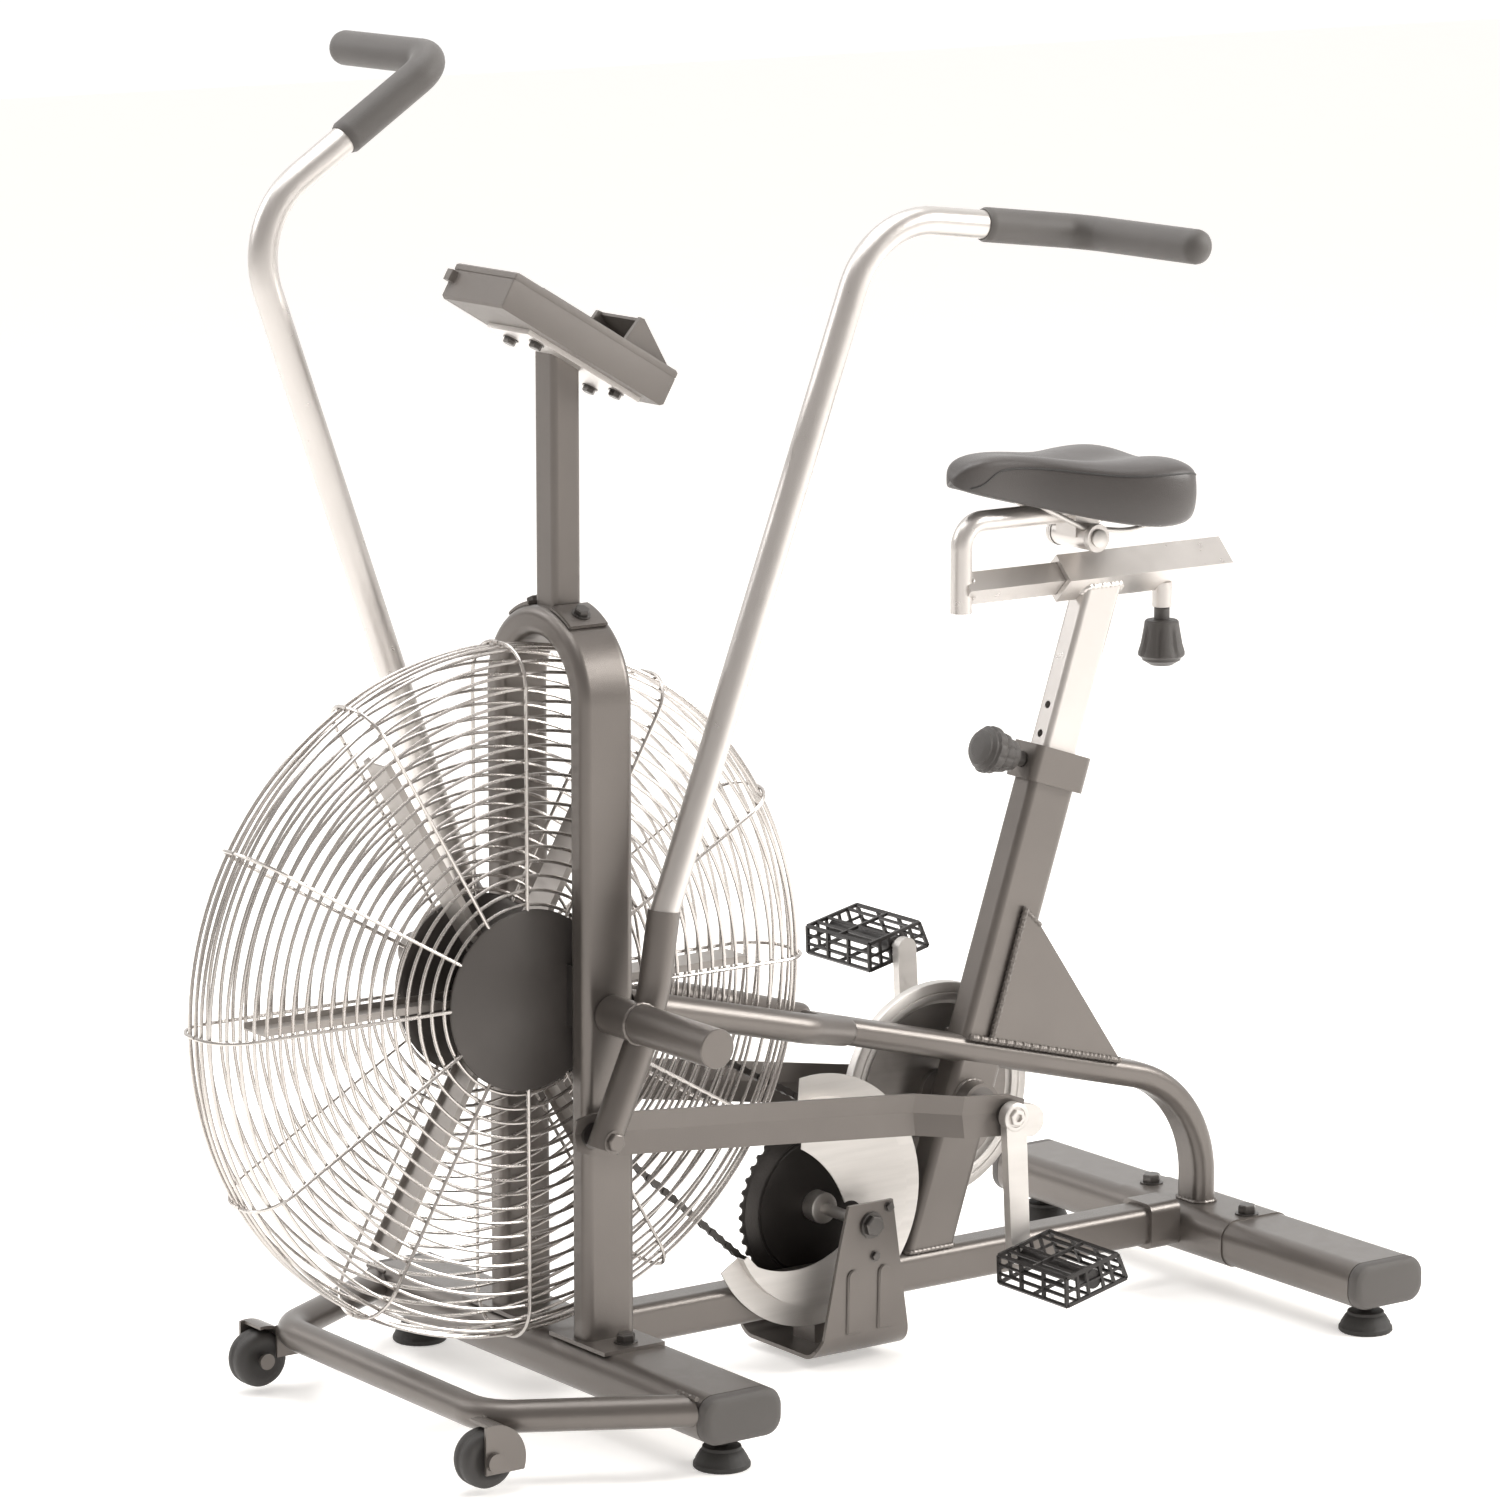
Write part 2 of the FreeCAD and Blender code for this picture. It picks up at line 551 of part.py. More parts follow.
def cage_point(turn_deg, offset=0.0):
    """Radius and half-width where the cage's rounded rim stands, 0 at the rim, 90 on the face."""
    bend = dim("cage_bend") + offset
    angle = math.radians(turn_deg)
    centre_r = dim("cage_radius") - dim("cage_bend") - dim("wire_radius")
    centre_y = dim("cage_face") - dim("cage_bend")
    return centre_r + bend * math.cos(angle), centre_y + bend * math.sin(angle)


FACE_RINGS = (96, 138, 180, 222, 264, 296)
RIM_RINGS = (66, 46.5, 16, -6)
SPOKES = 12


def cage_half(name, side):
    x, z, wire = dim("fan_x"), dim("fan_z"), dim("wire_radius")
    under = -2 * wire
    face, rim = [], []

    def ring(radius, half_width):
        return Part.makeTorus(radius, wire, Vector(x, side * half_width, z), ALONG_Y)

    for radius in FACE_RINGS:
        face.append(ring(radius, dim("cage_face") + under))
    for turn_deg in RIM_RINGS:
        rim.append(ring(*cage_point(turn_deg, under)))
    edge_r, _ = cage_point(0)
    for i in range(SPOKES):
        angle = 2 * math.pi * i / SPOKES
        out = Vector(math.cos(angle), 0, math.sin(angle))
        hub = out * (dim("cage_hub_radius") + 0.2) + Vector(x, side * dim("cage_face"), z)
        split = out * dim("spoke_split") + Vector(x, side * dim("cage_face"), z)
        corner = out * edge_r + Vector(x, side * dim("cage_face"), z)
        lip = out * edge_r + Vector(x, side * 1.0, z)
        across = out.cross(ALONG_Y)
        face.append(Part.makeCylinder(wire, (split - hub).Length, hub, out))
        face.append(round_tube([split, corner, lip], [dim("cage_bend")], wire, None, across))
    node(shaped(f"cage_face_{name}", Part.makeCompound(face)), f"cage_face_{name}")
    node(shaped(f"cage_rim_{name}", Part.makeCompound(rim)), f"cage_rim_{name}")


def hub_caps_and_axle():
    x, z = dim("fan_x"), dim("fan_z")
    caps, spacers = [], []
    cap_outer = dim("cage_face") + dim("hub_cap_thick") / 2
    upright_inner = dim("upright_half") - dim("upright_wide") / 2
    front = dim("upright_front") - dim("upright_long") / 2
    for name, side in SIDES.items():
        near = side * dim("cage_face") - dim("hub_cap_thick") / 2
        disc = cylinder(f"hub_cap_{name}", "cage_hub_radius", "hub_cap_thick", (x, near, z))
        hole = cylinder(f"hub_cap_hole_{name}", "axle_radius", "tool_long", (x, near - 40, z))
        caps.append(cut(f"hub_cap_disc_{name}", disc, hole))
        low_y = between(side, cap_outer, upright_inner - cap_outer)
        spacers.append(shaped(f"cap_spacer_{name}", box_between(
            (front + 4, low_y, z - 30), (front + 44, low_y + upright_inner - cap_outer, z + 30))))
    node(group("cage_hub_caps", caps), "cage_hub_caps")
    axle = cylinder("fan_axle_rod", "axle_radius", "2 * axle_half", (x, -dim("axle_half"), z))
    cap_inner = dim("cage_face") - dim("hub_cap_thick") / 2
    bored = []
    for name, side in SIDES.items():
        nut = hex_bolt(f"axle_nut_{name}", x, side * cap_inner, z, Rotation(ALONG_Z, ALONG_Y * -side))
        bore = cylinder(f"axle_nut_bore_{name}", "axle_radius", "2 * axle_half", (x, -dim("axle_half"), z))
        bored.append(cut(f"axle_nut_ring_{name}", nut, bore))
    node(group("fan_axle", [axle] + bored + spacers), "fan_axle")


def fan():
    x, z = dim("fan_x"), dim("fan_z")
    hub = cylinder("fan_hub_blank", "hub_radius", "2 * hub_half", (x, -dim("hub_half"), z))
    carrier = cylinder("fan_sprocket_carrier", "hub_radius - 4", "carrier_long", (x, dim("hub_half"), z))
    sprocket = cylinder("fan_sprocket_blank", "fan_sprocket_radius", "sprocket_thick",
                        (x, dim("fan_chain_y") - dim("sprocket_thick") / 2, z))
    bore = cylinder("fan_bore", "axle_radius + running_gap", "tool_long", (x, -40, z))
    blades = []
    for i in range(6):
        blank = block(f"fan_blade_{i}", "blade_radius - hub_radius + 2", "blade_wide", "blade_thick",
                      (0, 0, 0))
        angle = 60 * i
        middle = (dim("blade_radius") + dim("hub_radius") - 2) / 2
        turn = Rotation(ALONG_Y, -angle)
        centre = Vector(x, 0, z) + turn.multVec(Vector(middle, 0, 0))
        half = Vector(blank.Length.Value, blank.Width.Value, blank.Height.Value) / 2
        blank.Placement = Placement(centre - turn.multVec(half), turn)
        blades.append(blank)
    rotor = fuse("fan_blank", [hub, carrier, sprocket] + blades)
    node(cut("fan_rotor", rotor, bore), "fan_rotor")


# ---------------------------------------------------------------- jackshaft and chains

def chain(label, centre_a, radius_a, centre_b, radius_b, y):
    half, wide = dim("chain_half"), dim("chain_wide")
    outer = hull_of_discs(centre_a, radius_a + half, centre_b, radius_b + half, y - wide / 2, wide)
    inner = hull_of_discs(centre_a, radius_a - half, centre_b, radius_b - half, y - wide / 2, wide)
    node(shaped(label, outer.cut(inner)), label)


JACK = (dim("jack_x"), dim("jack_z"))
FAN = (dim("fan_x"), dim("fan_z"))
CRANK = (dim("crank_x"), dim("crank_z"))
CHAIN_CLEAR = dim("chain_half") + 0.6


def jackshaft():
    x, z = JACK
    y = dim("fan_chain_y")
    thick = dim("sprocket_thick")
    shaft = cylinder("jack_rod", "jack_radius", "2 * jack_half", (x, -dim("jack_half"), z))
    large = cylinder("jack_large_disc", "jack_large_radius", "sprocket_thick", (x, y - thick / 2, z))
    small = cylinder("jack_small_disc", "jack_small_radius", "sprocket_thick",
                     (x, dim("crank_chain_y") - thick / 2, z))
    hub = cylinder("jack_hub", "jack_hub_radius", "jack_hub_long", (x, y - dim("jack_hub_long"), z))
    hub_small = cylinder("jack_hub_small", "jack_hub_radius", "carrier_long",
                         (x, dim("crank_chain_y") - dim("carrier_long"), z))
    windows = []
    for i in range(6):
        angle = math.radians(60 * i + 30)
        ring = dim("jack_window_ring")
        windows.append(cylinder(f"jack_window_{i}", "jack_window_radius", "tool_long",
                                (x + ring * math.cos(angle), y - 40, z + ring * math.sin(angle))))
    large_cut = cut("jack_large_sprocket", large, fuse("jack_windows", windows))
    node(fuse("jackshaft", [shaft, large_cut, small, hub, hub_small]), "jackshaft")


def jackshaft_bracket():
    half, thin = dim("jack_bracket_half"), dim("jack_bracket_sheet")
    floor = dim("jack_bracket_floor")
    x, z = JACK
    outline = [(38, floor - 40), (38, 20), (44, 32), (64, 126), (74, 165), (128, 165), (149, 20),
               (149, floor - 40)]
    wide = 2 * half
    profile = Part.Face(rounded_rectangle(wide, 400, 25)).cut(
        Part.Face(rounded_rectangle(wide - 2 * thin, 400 - 2 * thin, 25 - thin)))
    profile.Placement = Placement(Vector(0, 0, floor + 200), Rotation(ALONG_Y, ALONG_Z, ALONG_X, "ZXY"))
    channel = profile.extrude(Vector(250, 0, 0))
    body = channel.common(plate(outline, -half, wide))
    body = body.cut(Part.makeCylinder(13, 4 * half, Vector(x, -2 * half, z), ALONG_Y))
    spacer = box_between((70, -18, floor + thin), (132, 18, dim("rail_floor")))
    node(shaped("jackshaft_bracket", body.fuse(spacer)), "jackshaft_bracket")


def bearings():
    """Bearing rings in the jackshaft bracket and in the bottom bracket shell."""
    rings = []
    sites = [(JACK, dim("jack_radius"), 13, dim("jack_bracket_half") - 7, 10),
             (CRANK, dim("spindle_radius"), 18, dim("shell_half") - 10, 10)]
    for (x, z), bore, outer, near, wide in sites:
        for side in (LEFT, RIGHT):
            y = side * near if side > 0 else -near - wide
            ring = Part.makeCylinder(outer, wide, Vector(x, y, z), ALONG_Y)
            hole = Part.makeCylinder(bore + dim("running_gap"), wide, Vector(x, y, z), ALONG_Y)
            rings.append(ring.cut(hole))
    node(shaped("bearings", Part.makeCompound(rings)), "bearings")


def jackshaft_guard():
    """A dished shroud beside the rail: face with a window, wall and flange, open towards the fan."""
    at_x, at_z, sheet_thick = dim("guard_x"), dim("guard_z"), dim("guard_sheet")
    near, far = dim("guard_near"), dim("guard_far")
    radius, flange = dim("guard_radius"), dim("guard_flange")

    def disc(size, outer_y, thick):
        return Part.makeCylinder(size, thick, Vector(at_x, -outer_y, at_z), ALONG_Y)

    face = disc(radius, far, sheet_thick)
    wall = disc(radius, far, far - near).cut(disc(radius - sheet_thick, far, far - near))
    rim = disc(flange, near + sheet_thick, sheet_thick).cut(
        disc(radius - sheet_thick, near + sheet_thick, sheet_thick))
    guard = face.cut(window_solid(-far - 5, 12)).fuse([wall, rim])
    guard = guard.cut(front_opening(-far - 5, far))
    shaft_way = Part.makeCylinder(dim("shaft_way_radius"), 60, Vector(JACK[0], -60, JACK[1]), ALONG_Y)
    guard = guard.cut(shaft_way)
    rail_half = dim("rail_side") / 2
    stay_low = dim("rail_floor") + 14
    stay = box_between((at_x + 6, -near - sheet_thick, stay_low), (at_x + 30, -rail_half, stay_low + 16))
    node(shaped("jackshaft_guard", guard.fuse(stay).removeSplitter()), "jackshaft_guard")


def window_solid(y, thick):
    """Lens-shaped window between two arcs, leaning towards the rear."""
    move_x, move_z = dim("guard_x") - 102, dim("guard_z") - 152

    def at(x, z):
        return Vector(x + move_x, y, z + move_z)

    edges = [Part.Arc(at(24, 98), at(-6, 152), at(-2, 205)).toShape(),
             Part.LineSegment(at(-2, 205), at(66, 215)).toShape(),
             Part.Arc(at(66, 215), at(119, 170), at(137, 112)).toShape(),
             Part.Arc(at(137, 112), at(80, 88), at(24, 98)).toShape()]
    return Part.Face(Part.Wire(edges)).extrude(Vector(0, thick, 0))


def front_opening(y, thick):
    """The sector towards the fan where the guard is left open."""
    at_x, at_z, reach = dim("guard_x"), dim("guard_z"), 2 * dim("guard_flange")
    corners = [(at_x - 30, at_z - 5)]
    for degrees in (92, 140, 180, 209):
        angle = math.radians(degrees)
        corners.append((at_x + reach * math.cos(angle), at_z + reach * math.sin(angle)))
    return plate(corners, y, thick)


# ---------------------------------------------------------------- crank set

def polar(centre, length, degrees):
    angle = math.radians(degrees)
    return centre[0] + length * math.cos(angle), centre[1] + length * math.sin(angle)


def crank_points(side):
    """Pin and pedal axis of one side; the two sides are half a turn apart."""
    turned = 0 if side < 0 else 180
    return (polar(CRANK, dim("pin_throw"), dim("pin_lead") + turned),
            polar(CRANK, dim("pedal_throw"), dim("pedal_lead") + turned))


def crank_set():
    x, z = CRANK
    bore = cylinder("shell_bore", "shell_radius - 4", "2 * shell_half + 2", (x, -dim("shell_half") - 1, z))
    shell = cylinder("shell_blank", "shell_radius", "2 * shell_half", (x, -dim("shell_half"), z))
    node(cut("bottom_bracket_shell", shell, bore), "bottom_bracket_shell")
    half = dim("web_near")
    node(cylinder("crank_spindle", "spindle_radius", "2 * web_near", (x, -half, z)), "crank_spindle")
    y = dim("crank_chain_y") - dim("sprocket_thick") / 2
    ring = cylinder("chainring_disc", "chainring_radius", "sprocket_thick", (x, y, z))
    boss = cylinder("chainring_boss", "shell_radius", "boss_long", (x, dim("crank_disc_y") + 4, z))
    hole = cylinder("chainring_hole", "spindle_radius", "tool_long", (x, dim("crank_disc_y") - 20, z))
    windows = []
    for i in range(5):
        window_x, window_z = polar(CRANK, dim("chainring_window_ring"), 72 * i)
        windows.append(cylinder(f"chainring_window_{i}", "chainring_window_radius", "tool_long",
                                (window_x, y - 40, window_z)))
    blank = cut("chainring_windowed", fuse("chainring_blank", [ring, boss]),
                fuse("chainring_windows", windows))
    node(cut("chainring", blank, hole), "chainring")
    disc = Part.makeCylinder(dim("crank_disc_radius"), 3, Vector(x, dim("crank_disc_y") - 1.5, z), ALONG_Y)
    collar = Part.makeCylinder(dim("shell_radius"), 6.5, Vector(x, dim("shell_half"), z), ALONG_Y)
    way = Part.makeCylinder(dim("shell_radius") - 6, 40, Vector(x, 20, z), ALONG_Y)
    node(shaped("crank_guard_disc", disc.fuse(collar).cut(way)), "crank_guard_disc")
    for name, side in SIDES.items():
        node(shaped(f"crank_{name}", crank_shape(side)), f"crank_{name}")
        pedal(name, side)


def crank_shape(side):
    """Inner web, crank pin and outer arm down to the pedal, joined in one piece."""
    pin, pedal_axis = crank_points(side)
    width = dim("crank_wide") / 2
    web_y = between(side, dim("web_near"), dim("web_thick"))
    arm_y = between(side, dim("crank_near"), dim("crank_thick"))
    web = hull_of_discs(CRANK, width + 5, pin, width, web_y, dim("web_thick"))
    gap_near = dim("web_near") + dim("web_thick")
    pin_y = between(side, gap_near, dim("crank_near") - gap_near)
    post = Part.makeCylinder(dim("crank_pin_radius"), dim("crank_near") - gap_near,
                             Vector(pin[0], pin_y, pin[1]), ALONG_Y)
    arm = hull_of_discs(pin, width + 1, pedal_axis, width, arm_y, dim("crank_thick"))
    boss = Part.makeCylinder(dim("crank_boss_radius"), dim("crank_thick"), Vector(pin[0], arm_y, pin[1]),
                             ALONG_Y)
    axle_near = dim("crank_near") + dim("crank_thick")
    axle_long = dim("pedal_near") + dim("pedal_wide") - 12 - axle_near
    axle = Part.makeCylinder(dim("pedal_axle"), axle_long,
                             Vector(pedal_axis[0], between(side, axle_near, axle_long), pedal_axis[1]),
                             ALONG_Y)
    return web.fuse([post, arm, boss, axle]).removeSplitter()


def pedal(name, side):
    """A cage pedal: a barrel on the axle, two side plates and two end plates."""
    x, z = crank_points(side)[1]
    near, wide = dim("pedal_near"), dim("pedal_wide")
    y = between(side, near, wide)
    tilt = Rotation(ALONG_Y, -dim("pedal_tilt"))
    outer = block(f"pedal_{name}_blank", "pedal_long", "pedal_wide", "pedal_thick",
                  (x, y + wide / 2, z), tilt)
    rounding = doc.addObject("Part::Fillet", f"pedal_{name}_rounding")
    rounding.Base = outer
    doc.recompute()
    rounding.Edges = [(i, 8, 8) for i, edge in enumerate(outer.Shape.Edges, 1)
                      if edge.tangentAt(edge.FirstParameter).isParallel(tilt.multVec(ALONG_Z), 1e-6)]
    pockets = [block(f"pedal_{name}_pocket_{i}", "pedal_long / 2 - 20", "pedal_wide - 26",
                     "pedal_thick + 2", Vector(x, y + wide / 2, z) + tilt.multVec(Vector(shift, 0, 0)), tilt)
               for i, shift in enumerate((-23, 23))]
    bore = cylinder(f"pedal_{name}_bore", "pedal_axle + running_gap", "pedal_wide", (x, y - 6 * side, z))
    tool = fuse(f"pedal_{name}_cuts", pockets + [bore])
    node(cut(f"pedal_{name}", rounding, tool), f"pedal_{name}")


# ---------------------------------------------------------------- rods and swinging arms

def rod(name, side):
    """Connecting rod: a flat bar from the arm's lower end to the crank pin, jogged outwards."""
    pin_x, pin_z = crank_points(side)[0]
    front_z = dim("arm_z") - dim("rod_drop_left" if side < 0 else "rod_drop_right")
    reach = math.sqrt(dim("rod_length") ** 2 - (front_z - pin_z) ** 2)
    front_x = pin_x - reach
    slope = (pin_z - front_z) / reach
    half = dim("rod_high") / 2
    front, rear, thick = dim("rod_front_y"), dim("rod_rear_y"), dim("rod_thick")
    kink, jog = pin_x - dim("rod_kink"), dim("rod_jog")

    def height(x):
        return front_z + slope * (x - front_x)

    def run(x_from, x_to, y_from, y_to):
        """Straight stretch whose section is upright and whose sides follow y_from to y_to."""
        corners = []
        for x, y in ((x_from, y_from), (x_to, y_to)):
            z = height(x)
            low, high = y - thick / 2, y + thick / 2
            ring = [Vector(x, side * low, z - half), Vector(x, side * high, z - half),
                    Vector(x, side * high, z + half), Vector(x, side * low, z + half)]
            corners.append(Part.makePolygon(ring + ring[:1]))
        return Part.makeLoft(corners, True, True)

    bend_end = kink + jog
    pieces = [run(front_x, kink, front, front), run(kink, bend_end, front, rear),
              run(bend_end, pin_x, rear, rear)]
    eye_y = between(side, rear - thick / 2, thick)
    pieces.append(Part.makeCylinder(half, thick, Vector(pin_x, eye_y, pin_z), ALONG_Y))
    tip_y = between(side, front - thick / 2, thick)
    pieces.append(Part.makeCylinder(half, thick, Vector(front_x, tip_y, front_z), ALONG_Y))
    solid = pieces[0].fuse(pieces[1:])
    for (x, z), y in (((pin_x, pin_z), eye_y), ((front_x, front_z), tip_y)):
        hole = dim("crank_pin_radius") + dim("running_gap")
        solid = solid.cut(Part.makeCylinder(hole, 4 * thick, Vector(x, y - thick, z), ALONG_Y))
    node(shaped(f"rod_{name}", solid.removeSplitter()), f"rod_{name}")


def swinging_arm(name, side):
    """Handle arm with its dark lower sleeve, hub, foot peg and grip, swung to its rest angle."""
    y = side * dim("arm_half")
    pivot = Vector(dim("arm_x"), 0, dim("arm_z"))
    swing = Rotation(ALONG_Y, dim("arm_swing") if side < 0 else -dim("arm_swing"))
    radius = dim("arm_radius")

    def at(rear, up, across=y):
        return Vector(rear, across, up)

    def swung(shape):
        shape.Placement = Placement(pivot, swing)
        return shape

    low, shoulder, top = at(0.4, 100), at(9, 798), at(261, 858)
    reach = Vector(261, side * dim("handle_reach"), 858)
    joint = low + (shoulder - low) * 0.012
    grip_start = shoulder + (top - shoulder) * 0.5
    grip = dim("grip_radius")
    handle_path = [joint, shoulder, top, reach]
    bends = [dim("handle_bend"), dim("handle_sharp_bend")]
    handle = round_tube(handle_path, bends, radius)
    sleeve_points = [at(0.4, 109), at(14.5, 38.5), at(18, -10), at(10, -125)]
    sleeve = round_tube(sleeve_points, [90, 90], dim("arm_sleeve_radius"))
    hub_near = 87.5
    hub_far = dim("peg_far")
    hub = Part.makeCylinder(dim("arm_hub_radius"), hub_far - hub_near,
                            Vector(0, between(side, hub_near, hub_far - hub_near), 0), ALONG_Y)
    stub = dim("arm_stub_radius") + dim("running_gap")
    stub_long = 32.5
    bore = Part.makeCylinder(stub, stub_long, Vector(0, between(side, hub_near, stub_long), 0), ALONG_Y)
    head = Part.makeCylinder(dim("arm_bolt_radius"), 5,
                             Vector(10.2, between(side, 136, 5), -114.4), ALONG_Y)
    shank = Part.makeCylinder(6, 33, Vector(10.2, between(side, 104.6, 33), -114.4), ALONG_Y)
    carrier = sleeve.fuse([hub, shank, head]).cut(bore)
    handle = handle.cut(sleeve)
    path = bent_path([grip_start, top, reach], [dim("handle_sharp_bend")])
    shell = swept(path, circle(grip))
    end_ball = Part.makeSphere(grip, reach)
    outer = shell.fuse(end_ball)
    inner_path = round_tube([shoulder + (top - shoulder) * 0.45, top, reach],
                            [dim("handle_sharp_bend")], radius)
    grip_shape = outer.cut(inner_path)
    node(shaped(f"arm_{name}", Part.makeCompound([swung(carrier), swung(handle)])), f"arm_{name}")
    node(shaped(f"grip_{name}", swung(grip_shape)), f"grip_{name}")


def arm_pivots():
    """Stub shafts welded to the uprights that the arm hubs turn on."""
    stubs = []
    near = dim("upright_half") + dim("upright_wide") / 2
    for side in (LEFT, RIGHT):
        long_side = 118.5 - near
        start = Vector(dim("arm_x"), between(side, near, long_side), dim("arm_z"))
        stubs.append(Part.makeCylinder(dim("arm_stub_radius"), long_side, start, ALONG_Y))
    node(shaped("arm_pivot_shafts", Part.makeCompound(stubs)), "arm_pivot_shafts")


# ---------------------------------------------------------------- seat tube, upper tube, yoke

LEAN = math.tan(math.radians(dim("seat_lean")))
LEAN_TURN = Rotation(ALONG_Y, dim("seat_lean"))
LEAN_UP = LEAN_TURN.multVec(ALONG_Z)


def seat_axis(z):
    return Vector(dim("seat_foot_x") + LEAN * (z - dim("seat_foot_z")), 0, z)


def seat_tube_blank(long_side, wide, corner, z_from, z_to):
    face = Part.Face(rounded_rectangle(long_side, wide, corner))
    length = (z_to - z_from) / math.cos(math.radians(dim("seat_lean")))
    solid = face.extrude(Vector(0, 0, length))
    solid.Placement = Placement(seat_axis(z_from), LEAN_TURN)
    return solid


def upper_axis(x):
    return Vector(x, 0, dim("upper_ref_z") - dim("upper_slope") * (x - dim("upper_ref_x")))


def seat_frame():
    rail_top = dim("rail_floor") + dim("rail_side")
    envelope = seat_tube_blank(dim("seat_tube_long"), dim("seat_tube_wide"), dim("seat_tube_corner"),
                               dim("rail_floor"), dim("seat_tube_top"))
    bore = seat_tube_blank(dim("seat_tube_long") - 5, dim("seat_tube_wide") - 5,
                           dim("seat_tube_corner") - 2.5, dim("rail_floor") - 20,
                           dim("seat_tube_top") + 20)
    x, z = CRANK
    shell = Part.makeCylinder(dim("shell_radius"), 100, Vector(x, -50, z), ALONG_Y)
    below = box_between((0, -60, -50), (500, 60, rail_top))
    node(shaped("seat_tube", envelope.cut(bore).cut(shell).cut(below)), "seat_tube")
    collar = seat_tube_blank(dim("collar_long"), dim("collar_wide"), 8,
                             563.5 - dim("collar_high") / 2, 563.5 + dim("collar_high") / 2)
    post_way = seat_tube_blank(dim("seat_post_long") + 0.8, dim("seat_post_wide") + 0.8, 6.4, 500, 640)
    pull = LEAN_TURN.multVec(Vector(-1, 0, 0))
    pin_way = Part.makeCylinder(dim("knob_neck") + 0.1, 80, knob_base() - pull * 30, pull)
    node(shaped("seat_tube_collar", collar.cut(envelope).cut(post_way).cut(pin_way)), "seat_tube_collar")
    tube = nodes["seat_tube"]
    tube.Shape = tube.Shape.cut(pin_way)

    leg = Vector(dim("upper_leg_x"), 0, STABILISER_TOP + 1.5)
    corner = upper_axis(dim("upper_leg_x"))
    path = bent_path([upper_axis(dim("upper_start_x")), corner, leg], [dim("upper_bend")])
    outer = swept(path, rounded_rectangle(dim("upper_wide"), dim("upper_high"), dim("upper_corner")))
    inner = swept(path, rounded_rectangle(dim("upper_wide") - 5, dim("upper_high") - 5,
                                          dim("upper_corner") - 2.5))
    node(shaped("upper_tube", outer.cut(inner).cut(envelope)), "upper_tube")

    def top_of_upper(at_x):
        slope = dim("upper_slope")
        return upper_axis(at_x).z + dim("upper_high") / 2 * math.sqrt(1 + slope ** 2)

    outline = [(331, 424), (351, 405), (456, top_of_upper(456)), (288, top_of_upper(288))]
    half = dim("seat_tube_wide") / 2
    cheeks = [plate(outline, between(side, half, dim("sheet")), dim("sheet")) for side in (LEFT, RIGHT)]
    spine = plate([(351, 405), (456, top_of_upper(456)), (452, top_of_upper(452)), (347, 405)],
                  -half, 2 * half)
    spine = spine.cut(envelope)
    node(shaped("seat_gusset", Part.makeCompound([cheeks[0].fuse([spine, cheeks[1]])])), "seat_gusset")

    yokes = []
    for side in (LEFT, RIGHT):
        path = [Vector(-230, side * 73, 415.7), Vector(24, side * 66, 351.5), Vector(100, side * 32.5, 332)]
        tube_solid = round_tube(path, [60], dim("yoke_radius"), None, ALONG_Z)
        rim = [edge for edge in tube_solid.Edges if edge.CenterOfMass.x > 90]
        tube_solid = tube_solid.makeFillet(dim("yoke_radius") - 3, rim)
        tube_solid = tube_solid.cut(box_between((-300, -150, 200), (-191.5, 150, 500)))
        yokes.append(tube_solid.cut(box_between((60, -20.05, 200), (200, 20.05, 500))))
    node(shaped("yoke_tubes", Part.makeCompound(yokes)), "yoke_tubes")


def knob_base():
    return Vector(dim("knob_front_x"), 0, dim("knob_front_z"))


# ---------------------------------------------------------------- seat post, slider, saddle

def diamond(half_diagonal, x_from, x_to):
    """Square bar standing on its corner, along X at the slider's height."""
    z = dim("slider_z")
    corners = [Vector(x_from, 0, z + half_diagonal), Vector(x_from, half_diagonal, z),
               Vector(x_from, 0, z - half_diagonal), Vector(x_from, -half_diagonal, z)]
    face = Part.Face(Part.makePolygon(corners + corners[:1]))
    return face.extrude(Vector(x_to - x_from, 0, 0))


def turned_knob(label, base, heading, pin_long):
    """A pull knob: neck, stepped body with a ribbed rim, and its locking pin."""
    long_side, neck, radius = dim("knob_long"), dim("knob_neck"), dim("knob_radius")
    profile = [(0, 0), (neck, 0), (neck, 12), (15, 12), (15, 20), (18.5, 22), (20, 40),
               (radius, 42), (radius, long_side - 4), (radius - 5, long_side), (0, long_side)]
    points = [Vector(r, 0, h) for r, h in profile]
    solid = Part.Face(Part.makePolygon(points + points[:1])).revolve(Vector(), ALONG_Z, 360)
    pin = Part.makeCylinder(3.5, pin_long, Vector(0, 0, -pin_long), ALONG_Z)
    solid = solid.fuse(pin)
    solid.Placement = Placement(base, Rotation(ALONG_Z, heading))
    node(shaped(label, solid), label)


